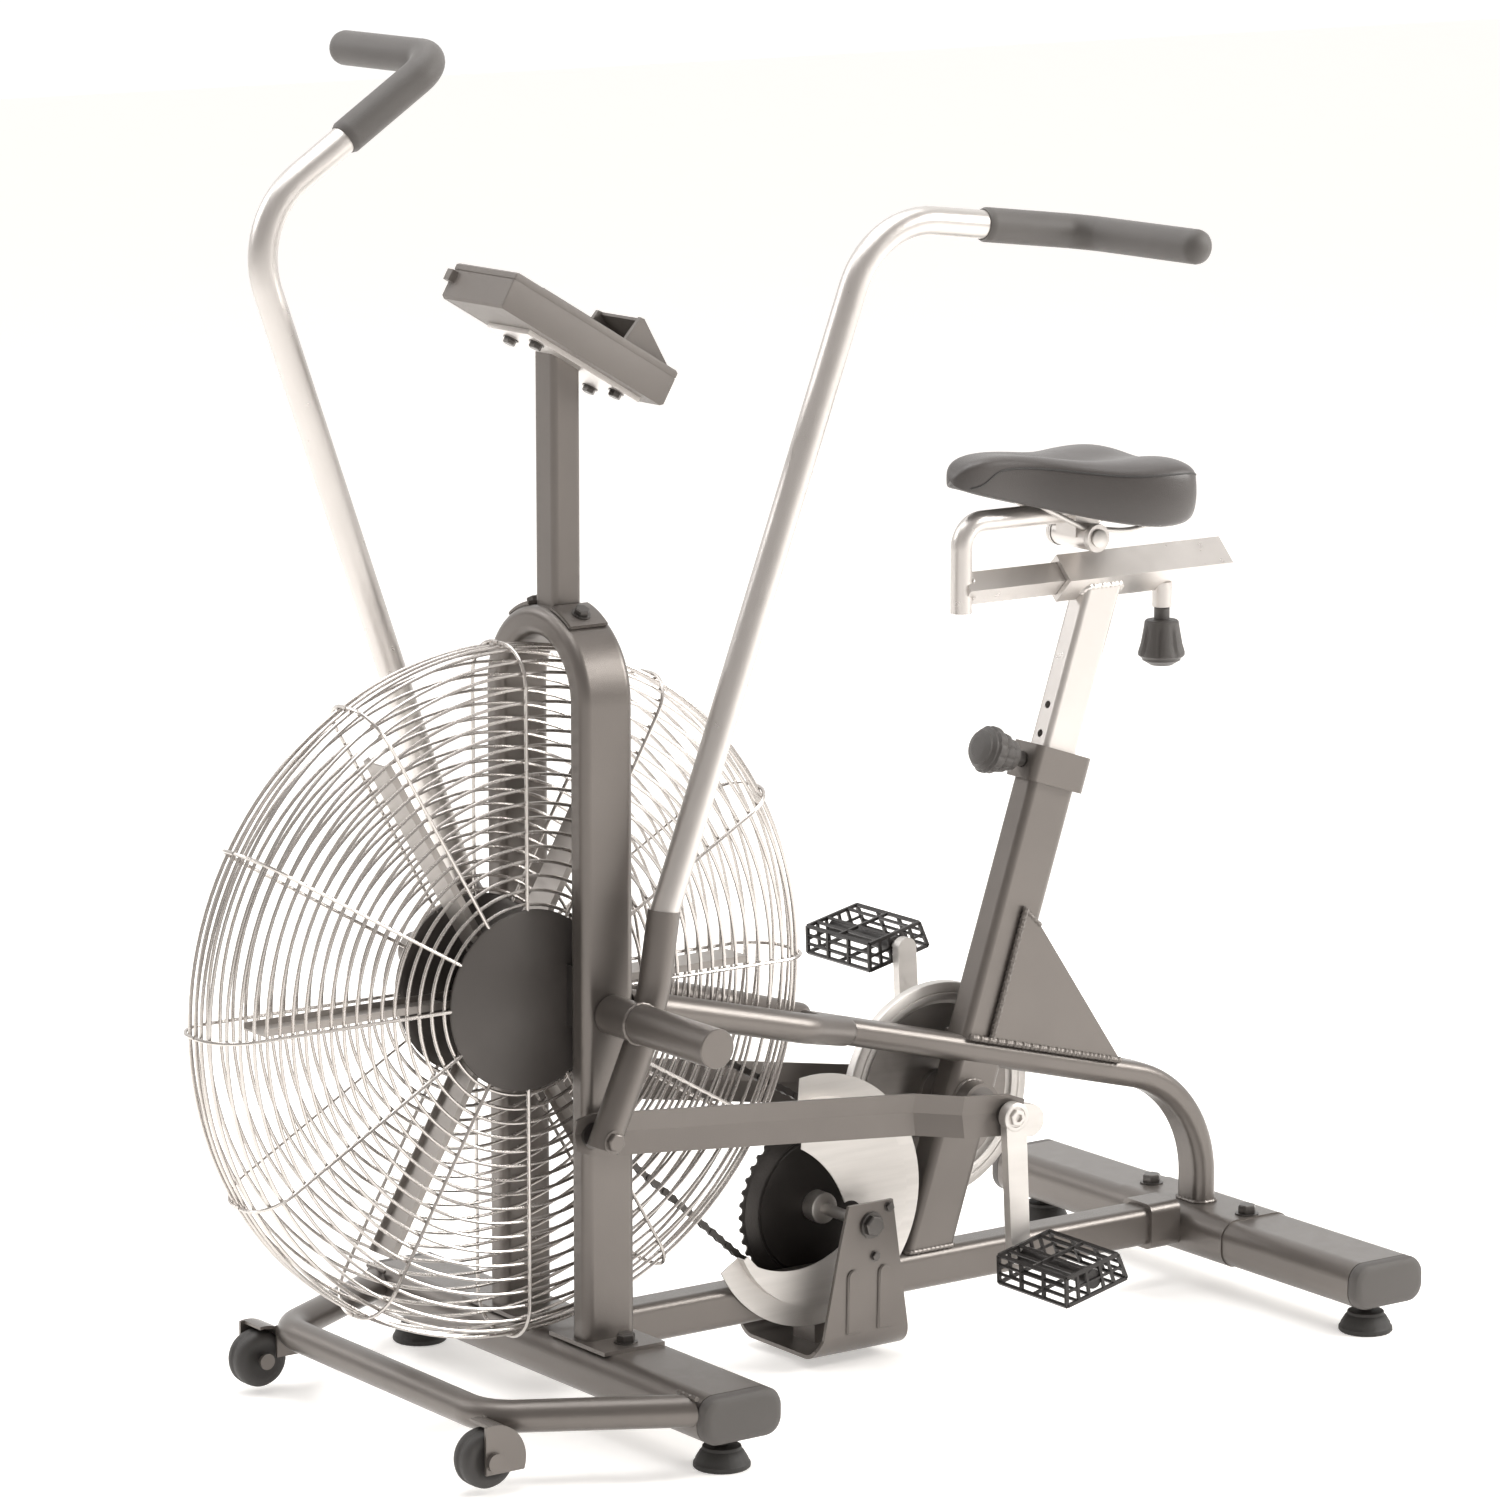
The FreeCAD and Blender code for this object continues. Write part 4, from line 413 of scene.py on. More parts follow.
def cage_wires(name, side):
    """Concentric rings held by twelve spokes that bend over the rim."""
    shape = Shape()
    ring_out, face_rings = 92 * MM, 16
    for i in range(face_rings):
        radius = ring_out + (RIM_CENTRE - ring_out) * i / (face_rings - 1)
        shape.tube(circle_path(FAN + Y_AXIS * side * (CAGE_FACE - 2 * WIRE), radius), WIRE, 8, True)
    inner_bend = CAGE_BEND - 2 * WIRE
    for turn_deg in (67, 46.5, 17, -5):
        turn = math.radians(turn_deg)
        radius = RIM_CENTRE + inner_bend * math.cos(turn)
        half_width = CAGE_FACE - CAGE_BEND + inner_bend * math.sin(turn)
        shape.tube(circle_path(FAN + Y_AXIS * side * half_width, radius, steps=128), WIRE, 8, True)
    for i in range(SPOKES):
        out = outward(2 * math.pi * i / SPOKES)
        face, rim = FAN + Y_AXIS * side * CAGE_FACE, out * (CAGE_RADIUS - WIRE)
        lip = FAN + rim + Y_AXIS * side * MM
        path = arc_path([face + out * 86 * MM, face + rim, lip], [CAGE_BEND * 0.999])
        shape.tube(path, WIRE * 1.05, 8)
    shape.to_object(f"cage_wires_{name}", "cage_wire", "frame",
                    (f"cage_face_{name}", f"cage_rim_{name}"), "cage_wire")


def hub_caps():
    """Pressed discs with a rolled rim over both ends of the fan's hub."""
    shape = Shape()
    for side in SIDES.values():
        profile = [(7, 43.6), (80, 43.6), (86, 44.2), (88, 45.6), (87.6, 47.4), (85, 48.4), (30, 48.6),
                   (26, 49.2), (7, 49.2)]
        shape.lathe(profile, FAN, Y_AXIS * side, 72)
    shape.to_object("hub_caps", "dark_trim", "frame", ("cage_hub_caps",), "dark_trim")


def gear_outline(teeth, pitch_radius, depth):
    """Tooth profile of a chain sprocket as (radius, angle) pairs."""
    outline = []
    for i in range(teeth):
        for share, height in ((-0.5, -0.55), (-0.30, -0.25), (-0.12, 1.0), (0.12, 1.0), (0.30, -0.25)):
            outline.append((pitch_radius + depth * height, 2 * math.pi * (i + share) / teeth))
    return outline


def sprocket(shape, centre, teeth, pitch_radius, bore, thick=2.2 * MM):
    """A toothed ring between the given bore and its teeth."""
    outer = gear_outline(teeth, pitch_radius, 2.6 * MM)
    edges = ((None, -thick / 2), (None, thick / 2), (bore, thick / 2), (bore, -thick / 2))
    shape.rings([[centre + outward(angle) * (inner or radius) + Y_AXIS * y for radius, angle in outer]
                 for inner, y in edges], closed=True)


def fan_rotor():
    """Six folded sheet blades bolted to a dark hub, with the small sprocket on the right."""
    blades, hub = Shape(), Shape()
    flange, thick, half = 7 * MM, 1.6 * MM, 19 * MM
    outline = [(-half, -flange), (-half, 0), (half, 0), (half, -flange), (half - thick, -flange),
               (half - thick, -thick), (-half + thick, -thick), (-half + thick, -flange)]
    for i in range(6):
        out = outward(math.pi * i / 3)
        across = out.cross(Y_AXIS)
        ring = [FAN + out * 30 * MM + Y_AXIS * y + across * (z + flange / 2) for y, z in outline]
        blades.prism(ring, out * 245 * MM)
        for reach in (40, 60):
            spot = FAN + out * reach * MM + across * (flange / 2)
            hub.lathe([(4.5, 0), (4.5, 2.5), (3, 4), (0, 4)], spot, across, 12)
        tab = FAN + out * 44 * MM
        hub.box(tab + across * (flange / 2 - 2.4 * MM), (44 * MM, 30 * MM, 1.6 * MM),
                Matrix((out, Y_AXIS, across)).transposed().to_quaternion())
    profile = [(6.2, -21), (18, -21), (24, -17), (24, 17), (20, 21), (20, 31), (6.2, 31)]
    hub.lathe(profile, FAN, Y_AXIS, 40)
    sprocket(hub, FAN + Y_AXIS * FAN_CHAIN_Y, 19, 38.6 * MM, 18 * MM)
    blades.to_object("fan_blades", "fan_metal", "fan", ("fan_rotor",), "fan_metal")
    hub.to_object("fan_hub", "sprocket_steel", "fan", (), "fan_metal")


# ---------------------------------------------------------------- chains and sprockets

CHAIN_PITCH = 12.7 * MM


def chain(name, centre_a, radius_a, centre_b, radius_b, y):
    """Roller chain round two sprockets: outer and inner link plates and their rollers."""
    run = centre_b - centre_a
    heading = math.atan2(run.z, run.x)
    length = math.hypot(run.x, run.z)
    spread = math.acos((radius_a - radius_b) / length)

    def rim(centre, radius, angle):
        return Vector((centre.x, y, centre.z)) + outward(angle) * radius

    loop = [rim(centre_a, radius_a, heading + spread + (2 * math.pi - 2 * spread) * k / 60)
            for k in range(61)]
    loop += [rim(centre_b, radius_b, heading - spread + 2 * spread * k / 40) for k in range(41)]
    loop.append(loop[0])
    total = sum((b - a).length for a, b in zip(loop, loop[1:]))
    links = 2 * round(total / (2 * CHAIN_PITCH))
    pins = even_points(loop, links)
    shape = Shape()
    for i, here in enumerate(pins):
        there = pins[(i + 1) % links]
        shape.lathe([(2.9, -2.9), (2.9, 2.9)], here, Y_AXIS, 10)
        offset = 2.45 * MM if i % 2 else 1.35 * MM
        for side in (-1, 1):
            link_plate(shape, here, there, side * offset)
    shape.to_object(f"{name}_links", "chain_steel", "frame", (name,), "chain_steel")


def even_points(loop, count):
    """Points at equal distances round a closed loop."""
    lengths = [(b - a).length for a, b in zip(loop, loop[1:])]
    total, points, walked, i = sum(lengths), [], 0.0, 0
    for k in range(count):
        goal = total * k / count
        while walked + lengths[i] < goal:
            walked += lengths[i]
            i += 1
        points.append(loop[i].lerp(loop[i + 1], (goal - walked) / lengths[i]))
    return points


def link_plate(shape, here, there, offset):
    """One waisted side plate between two pins, 1 mm thick."""
    along = (there - here).normalized()
    up = along.cross(Y_AXIS)
    middle = (here + there) / 2 + Y_AXIS * offset
    half = (there - here).length / 2
    outline = []
    for end in (1, -1):
        for turn in (-90, -45, 0, 45, 90):
            angle = math.radians(turn)
            outline.append(middle + along * end * (half + 3.9 * MM * math.cos(angle))
                           + up * end * 3.9 * MM * math.sin(angle))
        outline.append(middle + up * end * 2.6 * MM)
    shape.prism([p - Y_AXIS * 0.5 * MM for p in outline], Y_AXIS * 1.0 * MM)


def jackshaft():
    """Shaft with a dished large sprocket, its bright hub and the small sprocket."""
    steel, dark = Shape(), Shape()
    steel.lathe([(0, -78), (5, -78), (6, -76.8), (6, 76.8), (5, 78), (0, 78)], JACK, Y_AXIS, 32)
    steel.lathe([(6, 6.5), (13, 6.5), (15.5, 8), (16, 10), (16, 24), (15, 25), (6, 25)], JACK, Y_AXIS, 40)
    for side in SIDES.values():
        steel.lathe([(6, 70.2), (12, 70.2), (12, 71.6), (6, 71.6)], JACK, Y_AXIS * side, 28)
    dish = [(15, 24.6), (22, 24.2), (60, 21.6), (68, 21.6), (69, 23.2), (71, 23.2), (72, 21.8), (80, 23),
            (86, 25), (86, 27.1), (78, 27.1), (60, 25.4), (15, 27.1)]
    dark.lathe(dish, JACK, Y_AXIS, 72)
    sprocket(dark, JACK + Y_AXIS * FAN_CHAIN_Y, 44, 89.6 * MM, 84 * MM)
    dark.lathe([(6, 42.5), (15, 42.5), (16, 43.5), (16, 51), (15, 52), (6, 52)], JACK, Y_AXIS, 36)
    sprocket(dark, JACK + Y_AXIS * CRANK_CHAIN_Y, 16, 32.4 * MM, 15 * MM)
    steel.to_object("jackshaft_steel", "crank_metal", "jackshaft", ("jackshaft",), "crank_metal")
    dark.to_object("jackshaft_sprockets", "sprocket_steel", "jackshaft", (), "sprocket_steel")


def chainring():
    """Five-armed chainring with bolts round its spider."""
    dark = Shape()
    centre = CRANK + Y_AXIS * CRANK_CHAIN_Y
    sprocket(dark, centre, 46, 92.8 * MM, 76 * MM, 2.6 * MM)
    dark.lathe([(8.6, 47), (21, 47), (22, 48), (22, 61), (20, 63), (8.6, 63)], CRANK, Y_AXIS, 40)
    for i in range(5):
        out = outward(2 * math.pi * i / 5)
        across = out.cross(Y_AXIS)
        outline = [out * reach * MM + across * half * MM for reach, half in
                   ((18, 11), (80, 7), (80, -7), (18, -11))]
        dark.prism([centre + p - Y_AXIS * 1.4 * MM for p in outline], Y_AXIS * 2.8 * MM)
        dark.lathe([(5, -3), (5, 3)], centre + out * 78 * MM, Y_AXIS, 16)
    dark.to_object("chainring_teeth", "sprocket_steel", "crank", ("chainring",),
                   "sprocket_steel")


def crank_guard():
    """Pressed disc inside the chainring: bright raised rim round a darker dished face."""
    rim, face = Shape(), Shape()
    lip = [(90, 43.8), (90, 41.8), (92.5, 40.6), (94.5, 37), (97, 36), (101, 36), (102, 36.8), (103, 36),
           (110.5, 36), (112.4, 37), (113, 39), (113, 47), (111.6, 47), (111.4, 39.5), (109, 37.8),
           (97, 37.8), (94, 43.8)]
    rim.lathe(lip, CRANK, Y_AXIS, 96)
    dish = [(16.5, 44.3), (16.5, 41.6), (30, 41.6), (34, 40.2), (52, 40.2), (56, 41.7), (89.9, 41.7),
            (89.9, 44.3)]
    face.lathe(dish, CRANK, Y_AXIS, 96)
    collar = [(16.5, 34.9), (21.5, 34.9), (22, 35.4), (22, 41.6), (16.5, 41.6)]
    face.lathe(collar, CRANK, Y_AXIS, 48)
    rim.to_object("crank_guard_rim", "crank_metal", "frame", ("crank_guard_disc",),
                  "crank_metal")
    face.to_object("crank_guard_face", "disc_face", "frame", (), "crank_metal")


def hex_head(shape, base, axis, across, high):
    """A hexagonal head on its round washer; width across flats and height in mm."""
    radius = across / math.sqrt(3)
    shape.lathe([(0, 0), (radius * 1.25, 0), (radius * 1.25, high * 0.16), (radius * 0.99, high * 0.18)],
                base, axis, 24)
    shape.lathe([(radius * 0.98, high * 0.18), (radius, high * 0.25), (radius, high * 0.85),
                 (radius * 0.86, high)], base, axis, 6)


def crank_bolts():
    """Bright bolts on the outer faces of the cranks: one at the rod's pin, one at the pedal's."""
    ring = [(0, -1), (14.5, -1), (14.5, 0.6), (13.6, 1.3), (10.2, 1.3), (9.6, 0.2), (0, 0.2)]
    head = [(0, 0), (8.8, 0), (8.8, 3.6), (8.0, 4.4), (4.4, 4.4), (3.8, 1.4), (0, 1.4)]
    pedal_nut = [(0, 0), (9.5, 0), (9.5, 4), (7.5, 5.6), (0, 5.6)]
    for name, side in SIDES.items():
        shape = Shape()
        out, face_y = Y_AXIS * side, side * 140 * MM
        pin, pedal_axis = joint_place(f"rod_{name}_turn"), joint_place(f"pedal_{name}_spin")
        outer = Vector((pin.x, face_y, pin.z))
        shape.lathe(ring, outer, out, 40)
        shape.lathe(head, outer, out, 6)
        shape.lathe(pedal_nut, Vector((pedal_axis.x, face_y, pedal_axis.z)), out, 6)
        shape.to_object(f"crank_bolts_{name}", "crank_metal", "crank", (), "crank_metal")


# ---------------------------------------------------------------- pedals, rods, arms

PEDAL_TILT = Quaternion(Y_AXIS, math.radians(-13))


def pedal(name, side):
    """Cage pedal: barred top, bottom, ends and sides round a barrel, leaning rear edge up."""
    axis = joint_place(f"pedal_{name}_spin")
    shape = Shape()
    near, wide, half_x, half_z, bar = 147 * MM, 111 * MM, 38 * MM, 13.7 * MM, 3.4 * MM
    middle = Vector((axis.x, side * (near + wide / 2), axis.z))
    half_y = wide / 2 - bar / 2
    square = [(-0.5, -0.5), (0.5, -0.5), (0.5, 0.5), (-0.5, 0.5)]

    def at(x, y, z):
        """Point on the cage; the top is a little shorter than the bottom."""
        share = 1 - 0.07 * (1 + z / half_z)
        return middle + PEDAL_TILT @ Vector((x * share, y, z))

    def strip(start, end, size=bar):
        shape.tube([at(*start), at(*end)], size, 4, False, square)

    for z in (-half_z, half_z):
        corners = [(half_x, half_y, z), (-half_x, half_y, z), (-half_x, -half_y, z), (half_x, -half_y, z)]
        for i in range(4):
            strip(corners[i], corners[(i + 1) % 4])
        for x in (-half_x * 0.62, -half_x * 0.2, half_x * 0.62):
            strip((x, half_y, z), (x, -half_y, z), bar * 0.8)
        strip((-half_x, 0, z), (half_x, 0, z), bar * 0.9)
    for x in (-half_x, half_x):
        for z in (-half_z / 3, half_z / 3):
            strip((x, half_y, z), (x, -half_y, z), bar * 0.75)
        for y in (-half_y, -half_y * 0.33, half_y * 0.33, half_y):
            strip((x, y, -half_z), (x, y, half_z))
    for y in (-half_y, half_y):
        for share in (-0.6, -0.25, 0.25, 0.6):
            strip((half_x * share, y, -half_z), (half_x * share, y, half_z), bar * 0.85)
        strip((-half_x, y, 0), (half_x, y, 0), bar * 0.7)
    barrel = [(6.1, -53), (9.6, -53), (9.6, -34), (8, -30), (8, 30), (9.6, 34), (9.6, 53), (6.1, 53)]
    shape.lathe(barrel, middle, Y_AXIS, 24)
    shape.to_object(f"pedal_{name}_cage", "pedal_cage", f"pedal_{name}", (f"pedal_{name}",),
                    "pedal_cage")


def rod(name, side):
    """Creased flat bar that follows its solid from the arm's end to the crank pin."""
    low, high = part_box(f"rod_{name}")
    pin = joint_place(f"rod_{name}_turn")
    half = 21 * MM
    front_x = low[0] + half
    front_z = high[2] - half
    slope = (pin.z - front_z) / (pin.x - front_x)
    kink, jog = pin.x - 97 * MM, 42 * MM
    stations = [(front_x - 20 * MM, 98), (front_x, 98), (kink, 98), (kink + jog, 123), (pin.x, 123),
                (pin.x + 20 * MM, 123)]
    section = [(4.3, 21), (0.6, 1.5), (4.3, -21), (0.3, -21), (-3.6, 1.5), (0.3, 21)]
    rings = []
    for i, (x, y) in enumerate(stations):
        end = i in (0, len(stations) - 1)
        z = front_z + slope * (x - front_x)
        squeeze = 0.72 if end else 1
        rings.append([Vector((x, side * (y + out) * MM, z + up * squeeze * MM)) for out, up in section])
    shape = Shape()
    shape.rings(rings)
    shape.to_object(f"rod_{name}_bar", "rod_paint", f"rod_{name}", (f"rod_{name}",),
                    "frame_paint", crease=9)
    eyes = Shape()
    for spot, y in ((Vector((pin.x, 0, pin.z)), 123), (Vector((front_x, 0, front_z)), 98)):
        centre = spot + Y_AXIS * side * y * MM
        eyes.lathe([(7.4, -4.4), (13, -4.4), (13, 4.4), (7.4, 4.4)], centre, Y_AXIS, 28)
    eyes.to_object(f"rod_{name}_eyes", "bolt_steel", f"rod_{name}", (), "bolt_steel")


ARM_SWING = math.radians(20.15)
ARM_SHOULDER, ARM_TOP = (9, 798), (261, 858)    # behind and above the pivot, mm


def arm_frame(name, side):
    """Function that places a point of one arm, given behind, above and outside its pivot (mm)."""
    pivot = joint_place(f"arm_{name}_swing")
    turn = Quaternion(Y_AXIS, ARM_SWING * -side)

    def at(rear, up, across=121.0):
        return Vector((pivot.x, 0, pivot.z)) + turn @ mm(rear, side * across, up)

    return at


def swinging_arm(name, side):
    """Bright bent handle tube in a dark bowed sleeve, with hub, foot peg and lower bolt."""
    at, body = arm_frame(name, side), f"arm_{name}"
    handle = Shape()
    path = arc_path([at(1.5, 106), at(*ARM_SHOULDER), at(*ARM_TOP), at(*ARM_TOP, 282)],
                    [90 * MM, 32 * MM], 14)
    handle.tube(finer_path(path, 40 * MM), 14 * MM, 28)
    handle.to_object(f"handle_tube_{name}", "silver_paint", body, (body,), "silver_paint")
    sleeve = Shape()
    bowed = arc_path([at(0.4, 109), at(14.5, 38.5), at(18, -10), at(10, -125)], [90 * MM, 90 * MM], 8)
    sleeve.tube(finer_path(bowed, 8 * MM), 15.8 * MM, 28)
    axis = Y_AXIS * side
    sleeve.lathe([(11.2, 88), (19, 88), (19, 262), (18, 263), (0, 263)], at(0, 0, 0), axis, 40)
    hex_head(sleeve, at(10.2, -114.4, 135.5), axis, 16, 6)
    sleeve.to_object(f"arm_sleeve_{name}", "frame_paint", body, (), "frame_paint")
    beads = Shape()
    weld_bead(beads, circle_path(at(0, 0, 137), 19.4 * MM, axis, 60), 1.8, closed=True)
    beads.to_object(f"arm_weld_{name}", "frame_paint", body, (), "frame_paint")


def grip(name, side):
    """Foam sleeve on the handle: straight, round the sharp bend and out to a domed end."""
    at = arm_frame(name, side)
    top = at(*ARM_TOP)
    bend = arc_path([at(*ARM_SHOULDER).lerp(top, 0.5), top, at(*ARM_TOP, 301)], [32 * MM], 14)
    path = finer_path(bend, 4 * MM)
    last = len(path) - 1

    def radius(i):
        from_end = (path[last] - path[i]).length / MM
        from_start = (path[0] - path[i]).length / MM
        round_end = math.sqrt(max(0.0, 1 - (1 - min(from_end, 12) / 12) ** 2))
        lip = 1 - 0.12 * (1 - min(from_start, 3) / 3)
        return 17 * MM * max(0.25, round_end) * lip

    shape = Shape()
    shape.tube(path, radius, 32)
    shape.to_object(f"grip_foam_{name}", "grip_foam", f"arm_{name}", (f"grip_{name}",),
                    "grip_foam")


# ---------------------------------------------------------------- saddle, knobs, wheels, feet

SADDLE_STATIONS = [   # x, half width, top, lowest edge, depth of the channel, seam's share of the depth
    (247, 5, 868, 862, 0, 0.9), (251, 12, 876, 858, 0, 0.9), (259, 18, 883, 855, 0, 0.88),
    (272, 23, 887, 852, 0, 0.7), (290, 26, 889, 846, 0, 0.34), (315, 31, 888, 839, 1, 0.24),
    (342, 40, 885, 832, 3, 0.21), (370, 57, 881, 825, 6, 0.19), (398, 76, 878, 818, 8, 0.18),
    (425, 90, 878, 813, 8, 0.18), (450, 97, 879, 810, 7, 0.17), (472, 98, 879, 811, 6, 0.17),
    (487, 93, 876, 814, 5, 0.18), (496, 82, 871, 819, 3, 0.2), (500, 68, 864, 827, 1, 0.26)]
SADDLE_SECTION = [    # share of the half width, share of the depth, share of the channel
    (0, 0, 1), (0.16, 0, 0.85), (0.36, 0, 0.25), (0.58, 0, 0), (0.78, 0.03, 0), (0.92, 0.09, 0),
    (0.985, 0.18, 0), (1.0, 0.34, 0), (1.01, 0.56, 0), (0.985, 0.8, 0), (0.93, 0.95, 0), (0.84, 1, 0),
    (0.72, 0.95, 0), (0.5, 0.74, 0), (0.3, 0.6, 0), (0, 0.58, 0)]


def saddle_ring(station):
    """Cross-section of the saddle at one station."""
    x, half, top, low, channel, _ = station
    right = [(half * out, top - (top - low) * down - channel * dip) for out, down, dip in SADDLE_SECTION]
    left = [(-y, z) for y, z in reversed(right[1:-1])]
    return [mm(x, y, z) for y, z in right + left]


def saddle():
    """Padded saddle cover with a central channel, seam piping, wire rails and clamp plates."""
    shape = Shape()
    shape.rings([saddle_ring(station) for station in SADDLE_STATIONS])
    cover = shape.to_object("saddle_pad", "saddle_cover", "carriage", ("saddle",),
                            "saddle_cover", crease=180, divide=2)
    work = bmesh.new()
    work.from_object(cover, bpy.context.evaluated_depsgraph_get())
    tree = BVHTree.FromBMesh(work)

    def hugging(points, steps):
        on_cover = [tree.find_nearest(p)[0] for p in points]
        return [tree.find_nearest(p)[0] for p in smooth_path(on_cover, steps)]

    piping = Shape()
    for side in SIDES.values():
        path = [mm(x, side * half, top - (top - low) * seam)
                for x, half, top, low, _, seam in SADDLE_STATIONS[2:-1]]
        path += [mm(502, side * 62, 855), mm(503, side * 30, 856), mm(503, 0, 856)]
        piping.tube(hugging(path, 8), 1.0 * MM, 8)
    work.free()
    piping.to_object("saddle_piping", "saddle_base", "carriage", (), "saddle_cover")
    rails = Shape()
    for side in SIDES.values():
        path = [mm(334, side * 17, 842), mm(356, side * 22, 829), mm(398, side * 24, 808),
                mm(452, side * 27, 801), mm(478, side * 38, 808), mm(484, side * 44, 826)]
        rails.tube(arc_path(path, [16 * MM, 40 * MM, 50 * MM, 12 * MM], 6), 2.8 * MM, 12)
        for out, size in ((27, 14.4), (30, 14.4), (34.5, 9)):
            rails.lathe([(0, 0), (size, 0), (size, 2.2), (size - 1, 2.9), (0, 2.9)],
                        mm(409, side * out, 798), Y_AXIS * side, 36)
    rails.to_object("saddle_rails", "crank_metal", "carriage", (), "silver_paint")


def smooth_path(path, steps):
    """Catmull-Rom curve through the points."""
    result = []
    for i in range(len(path) - 1):
        a, b = path[max(0, i - 1)], path[i]
        c, d = path[i + 1], path[min(len(path) - 1, i + 2)]
        for k in range(steps):
            t = k / steps
            result.append(((b * 2) + (c - a) * t + (a * 2 - b * 5 + c * 4 - d) * t * t
                           + (b * 3 - a - c * 3 + d) * t ** 3) / 2)
    result.append(path[-1])
    return result


HEIGHT_KNOB = [    # radius and distance from the base, mm
    (0, 1), (8, 1), (8, 14), (15.5, 15), (16.5, 19), (16, 23), (19.5, 26), (20.5, 32), (19.5, 35), (22.5, 38),
    (24.3, 42), (24.3, 48), (22, 50), (21.5, 52), (18, 55), (17.5, 57), (11, 59.4), (10, 59.6), (0, 60)]
SLIDE_KNOB = [
    (0, 1), (8, 1), (8, 13), (16, 13.6), (17.5, 15), (18.6, 22), (21.5, 38), (24.2, 47), (24, 50), (20, 53),
    (19.6, 55), (13, 59), (11.5, 60), (0, 60)]


def knob(body, base, profile, flutes, depth):
    """Moulded pull knob: slim neck, fluted waist flaring to a stepped, domed end."""
    heading = Vector(JOINTS[f"{body}_pull"]["axis"])

    def wobble(angle, height):
        within = max(0.0, min(1.0, (height - 16) / 8)) * max(0.0, min(1.0, (52 - height) / 6))
        return 1 - depth * within * max(0.0, math.cos(angle * flutes)) ** 2

    dense = []
    for (r0, h0), (r1, h1) in zip(profile, profile[1:]):
        parts = max(1, round(abs(h1 - h0) / 2.5))
        dense += [(r0 + (r1 - r0) * k / parts, h0 + (h1 - h0) * k / parts) for k in range(parts)]
    dense.append(profile[-1])
    shape = Shape()
    shape.lathe(dense, base, heading, 80, wobble)
    shape.to_object(f"{body}_body", "knob_plastic", body, (f"seat_{body}",), "knob_plastic",
                    crease=30)


def slide_knob_base():
    """The slide knob hangs with its stem upwards, 60 mm above its lowest point."""
    low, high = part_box("seat_slide_knob")
    return Vector(((low[0] + high[0]) / 2, 0, low[2] + 60 * MM))


def transport_wheel(name):
    """Solid rubber wheel with a crowned tread and a recessed centre."""
    axle = joint_place(f"wheel_{name}_spin")
    half = 13.5    # of the width, mm
    shape = Shape()
    profile = [(5.3, -half + 2), (14, -half + 2), (17, -half + 0.4), (22, -half), (25.5, -half + 1.5),
               (27.6, -half + 5.5), (28, -3), (27.3, -2), (27.3, 2), (28, 3), (27.6, half - 5.5),
               (25.5, half - 1.5), (22, half), (17, half - 0.4), (14, half - 2), (5.3, half - 2)]
    shape.lathe(profile, axle, Y_AXIS, 64)
    shape.to_object(f"wheel_{name}_tyre", "wheel_rubber", f"wheel_{name}", (f"wheel_{name}",),
                    "wheel_rubber", crease=50)


def levelling_feet():
    """Rubber foot with a stepped skirt, moulded ribs, threaded stem and lock nut."""
    feet, stems = Shape(), Shape()
    low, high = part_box("levelling_feet")
    inset = 27.5 * MM
    for x in (low[0] + inset, high[0] - inset):
        for y in (low[1] + inset, high[1] - inset):
            base = Vector((x, y, 0))
            profile = [(0, 0), (26, 0), (27.5, 1.5), (27.3, 5), (25.6, 7), (25.2, 9), (21, 16), (19, 18),
                       (18.5, 21), (16, 22), (0, 22)]
            feet.lathe(profile, base, Z_AXIS, 60,
                       lambda angle, height: 1 - 0.012 * (math.sin(angle * 24) > 0.2))
            stems.lathe([(0, 21), (6, 21), (6, 33), (0, 33)], base, Z_AXIS, 20)
            hex_head(stems, base + Z_AXIS * 27 * MM, Z_AXIS, 17, 6)
    feet.to_object("rubber_feet", "foot_rubber", "frame", ("levelling_feet",), "foot_rubber",
                   crease=30)
    stems.to_object("foot_stems", "bolt_steel", "frame", (), "bolt_steel")


def end_caps():
    """Moulded plugs with a rounded face and a shadow gap where they meet the tube."""
    low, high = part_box("stabiliser_end_caps")
    shape = Shape()
    half_x, half_z, corner = 45 * MM, 23.5 * MM, 18 * MM
    z = (low[2] + high[2]) / 2
    stations = [(287, 1.2), (288, 0), (295, 0), (298.5, 1.4), (300.4, 4.2), (301, 8)]   # y, inset
    for x in (low[0] + half_x, high[0] - half_x):
        for side in SIDES.values():
            rings = []
            for y, inset in stations:
                outline = rounded_outline(half_x - inset * MM, half_z - inset * MM,
                                          corner - inset * 0.6 * MM, 8)
                rings.append([Vector((x + across, side * y * MM, z + up)) for across, up in outline])
            shape.rings(rings)
    shape.to_object("end_plugs", "cap_plastic", "frame", ("stabiliser_end_caps",),
                    "cap_plastic", crease=30)


# ---------------------------------------------------------------- frame and console details

ARCH = mm(-220.5, 0, 701)    # middle of the arch over the uprights


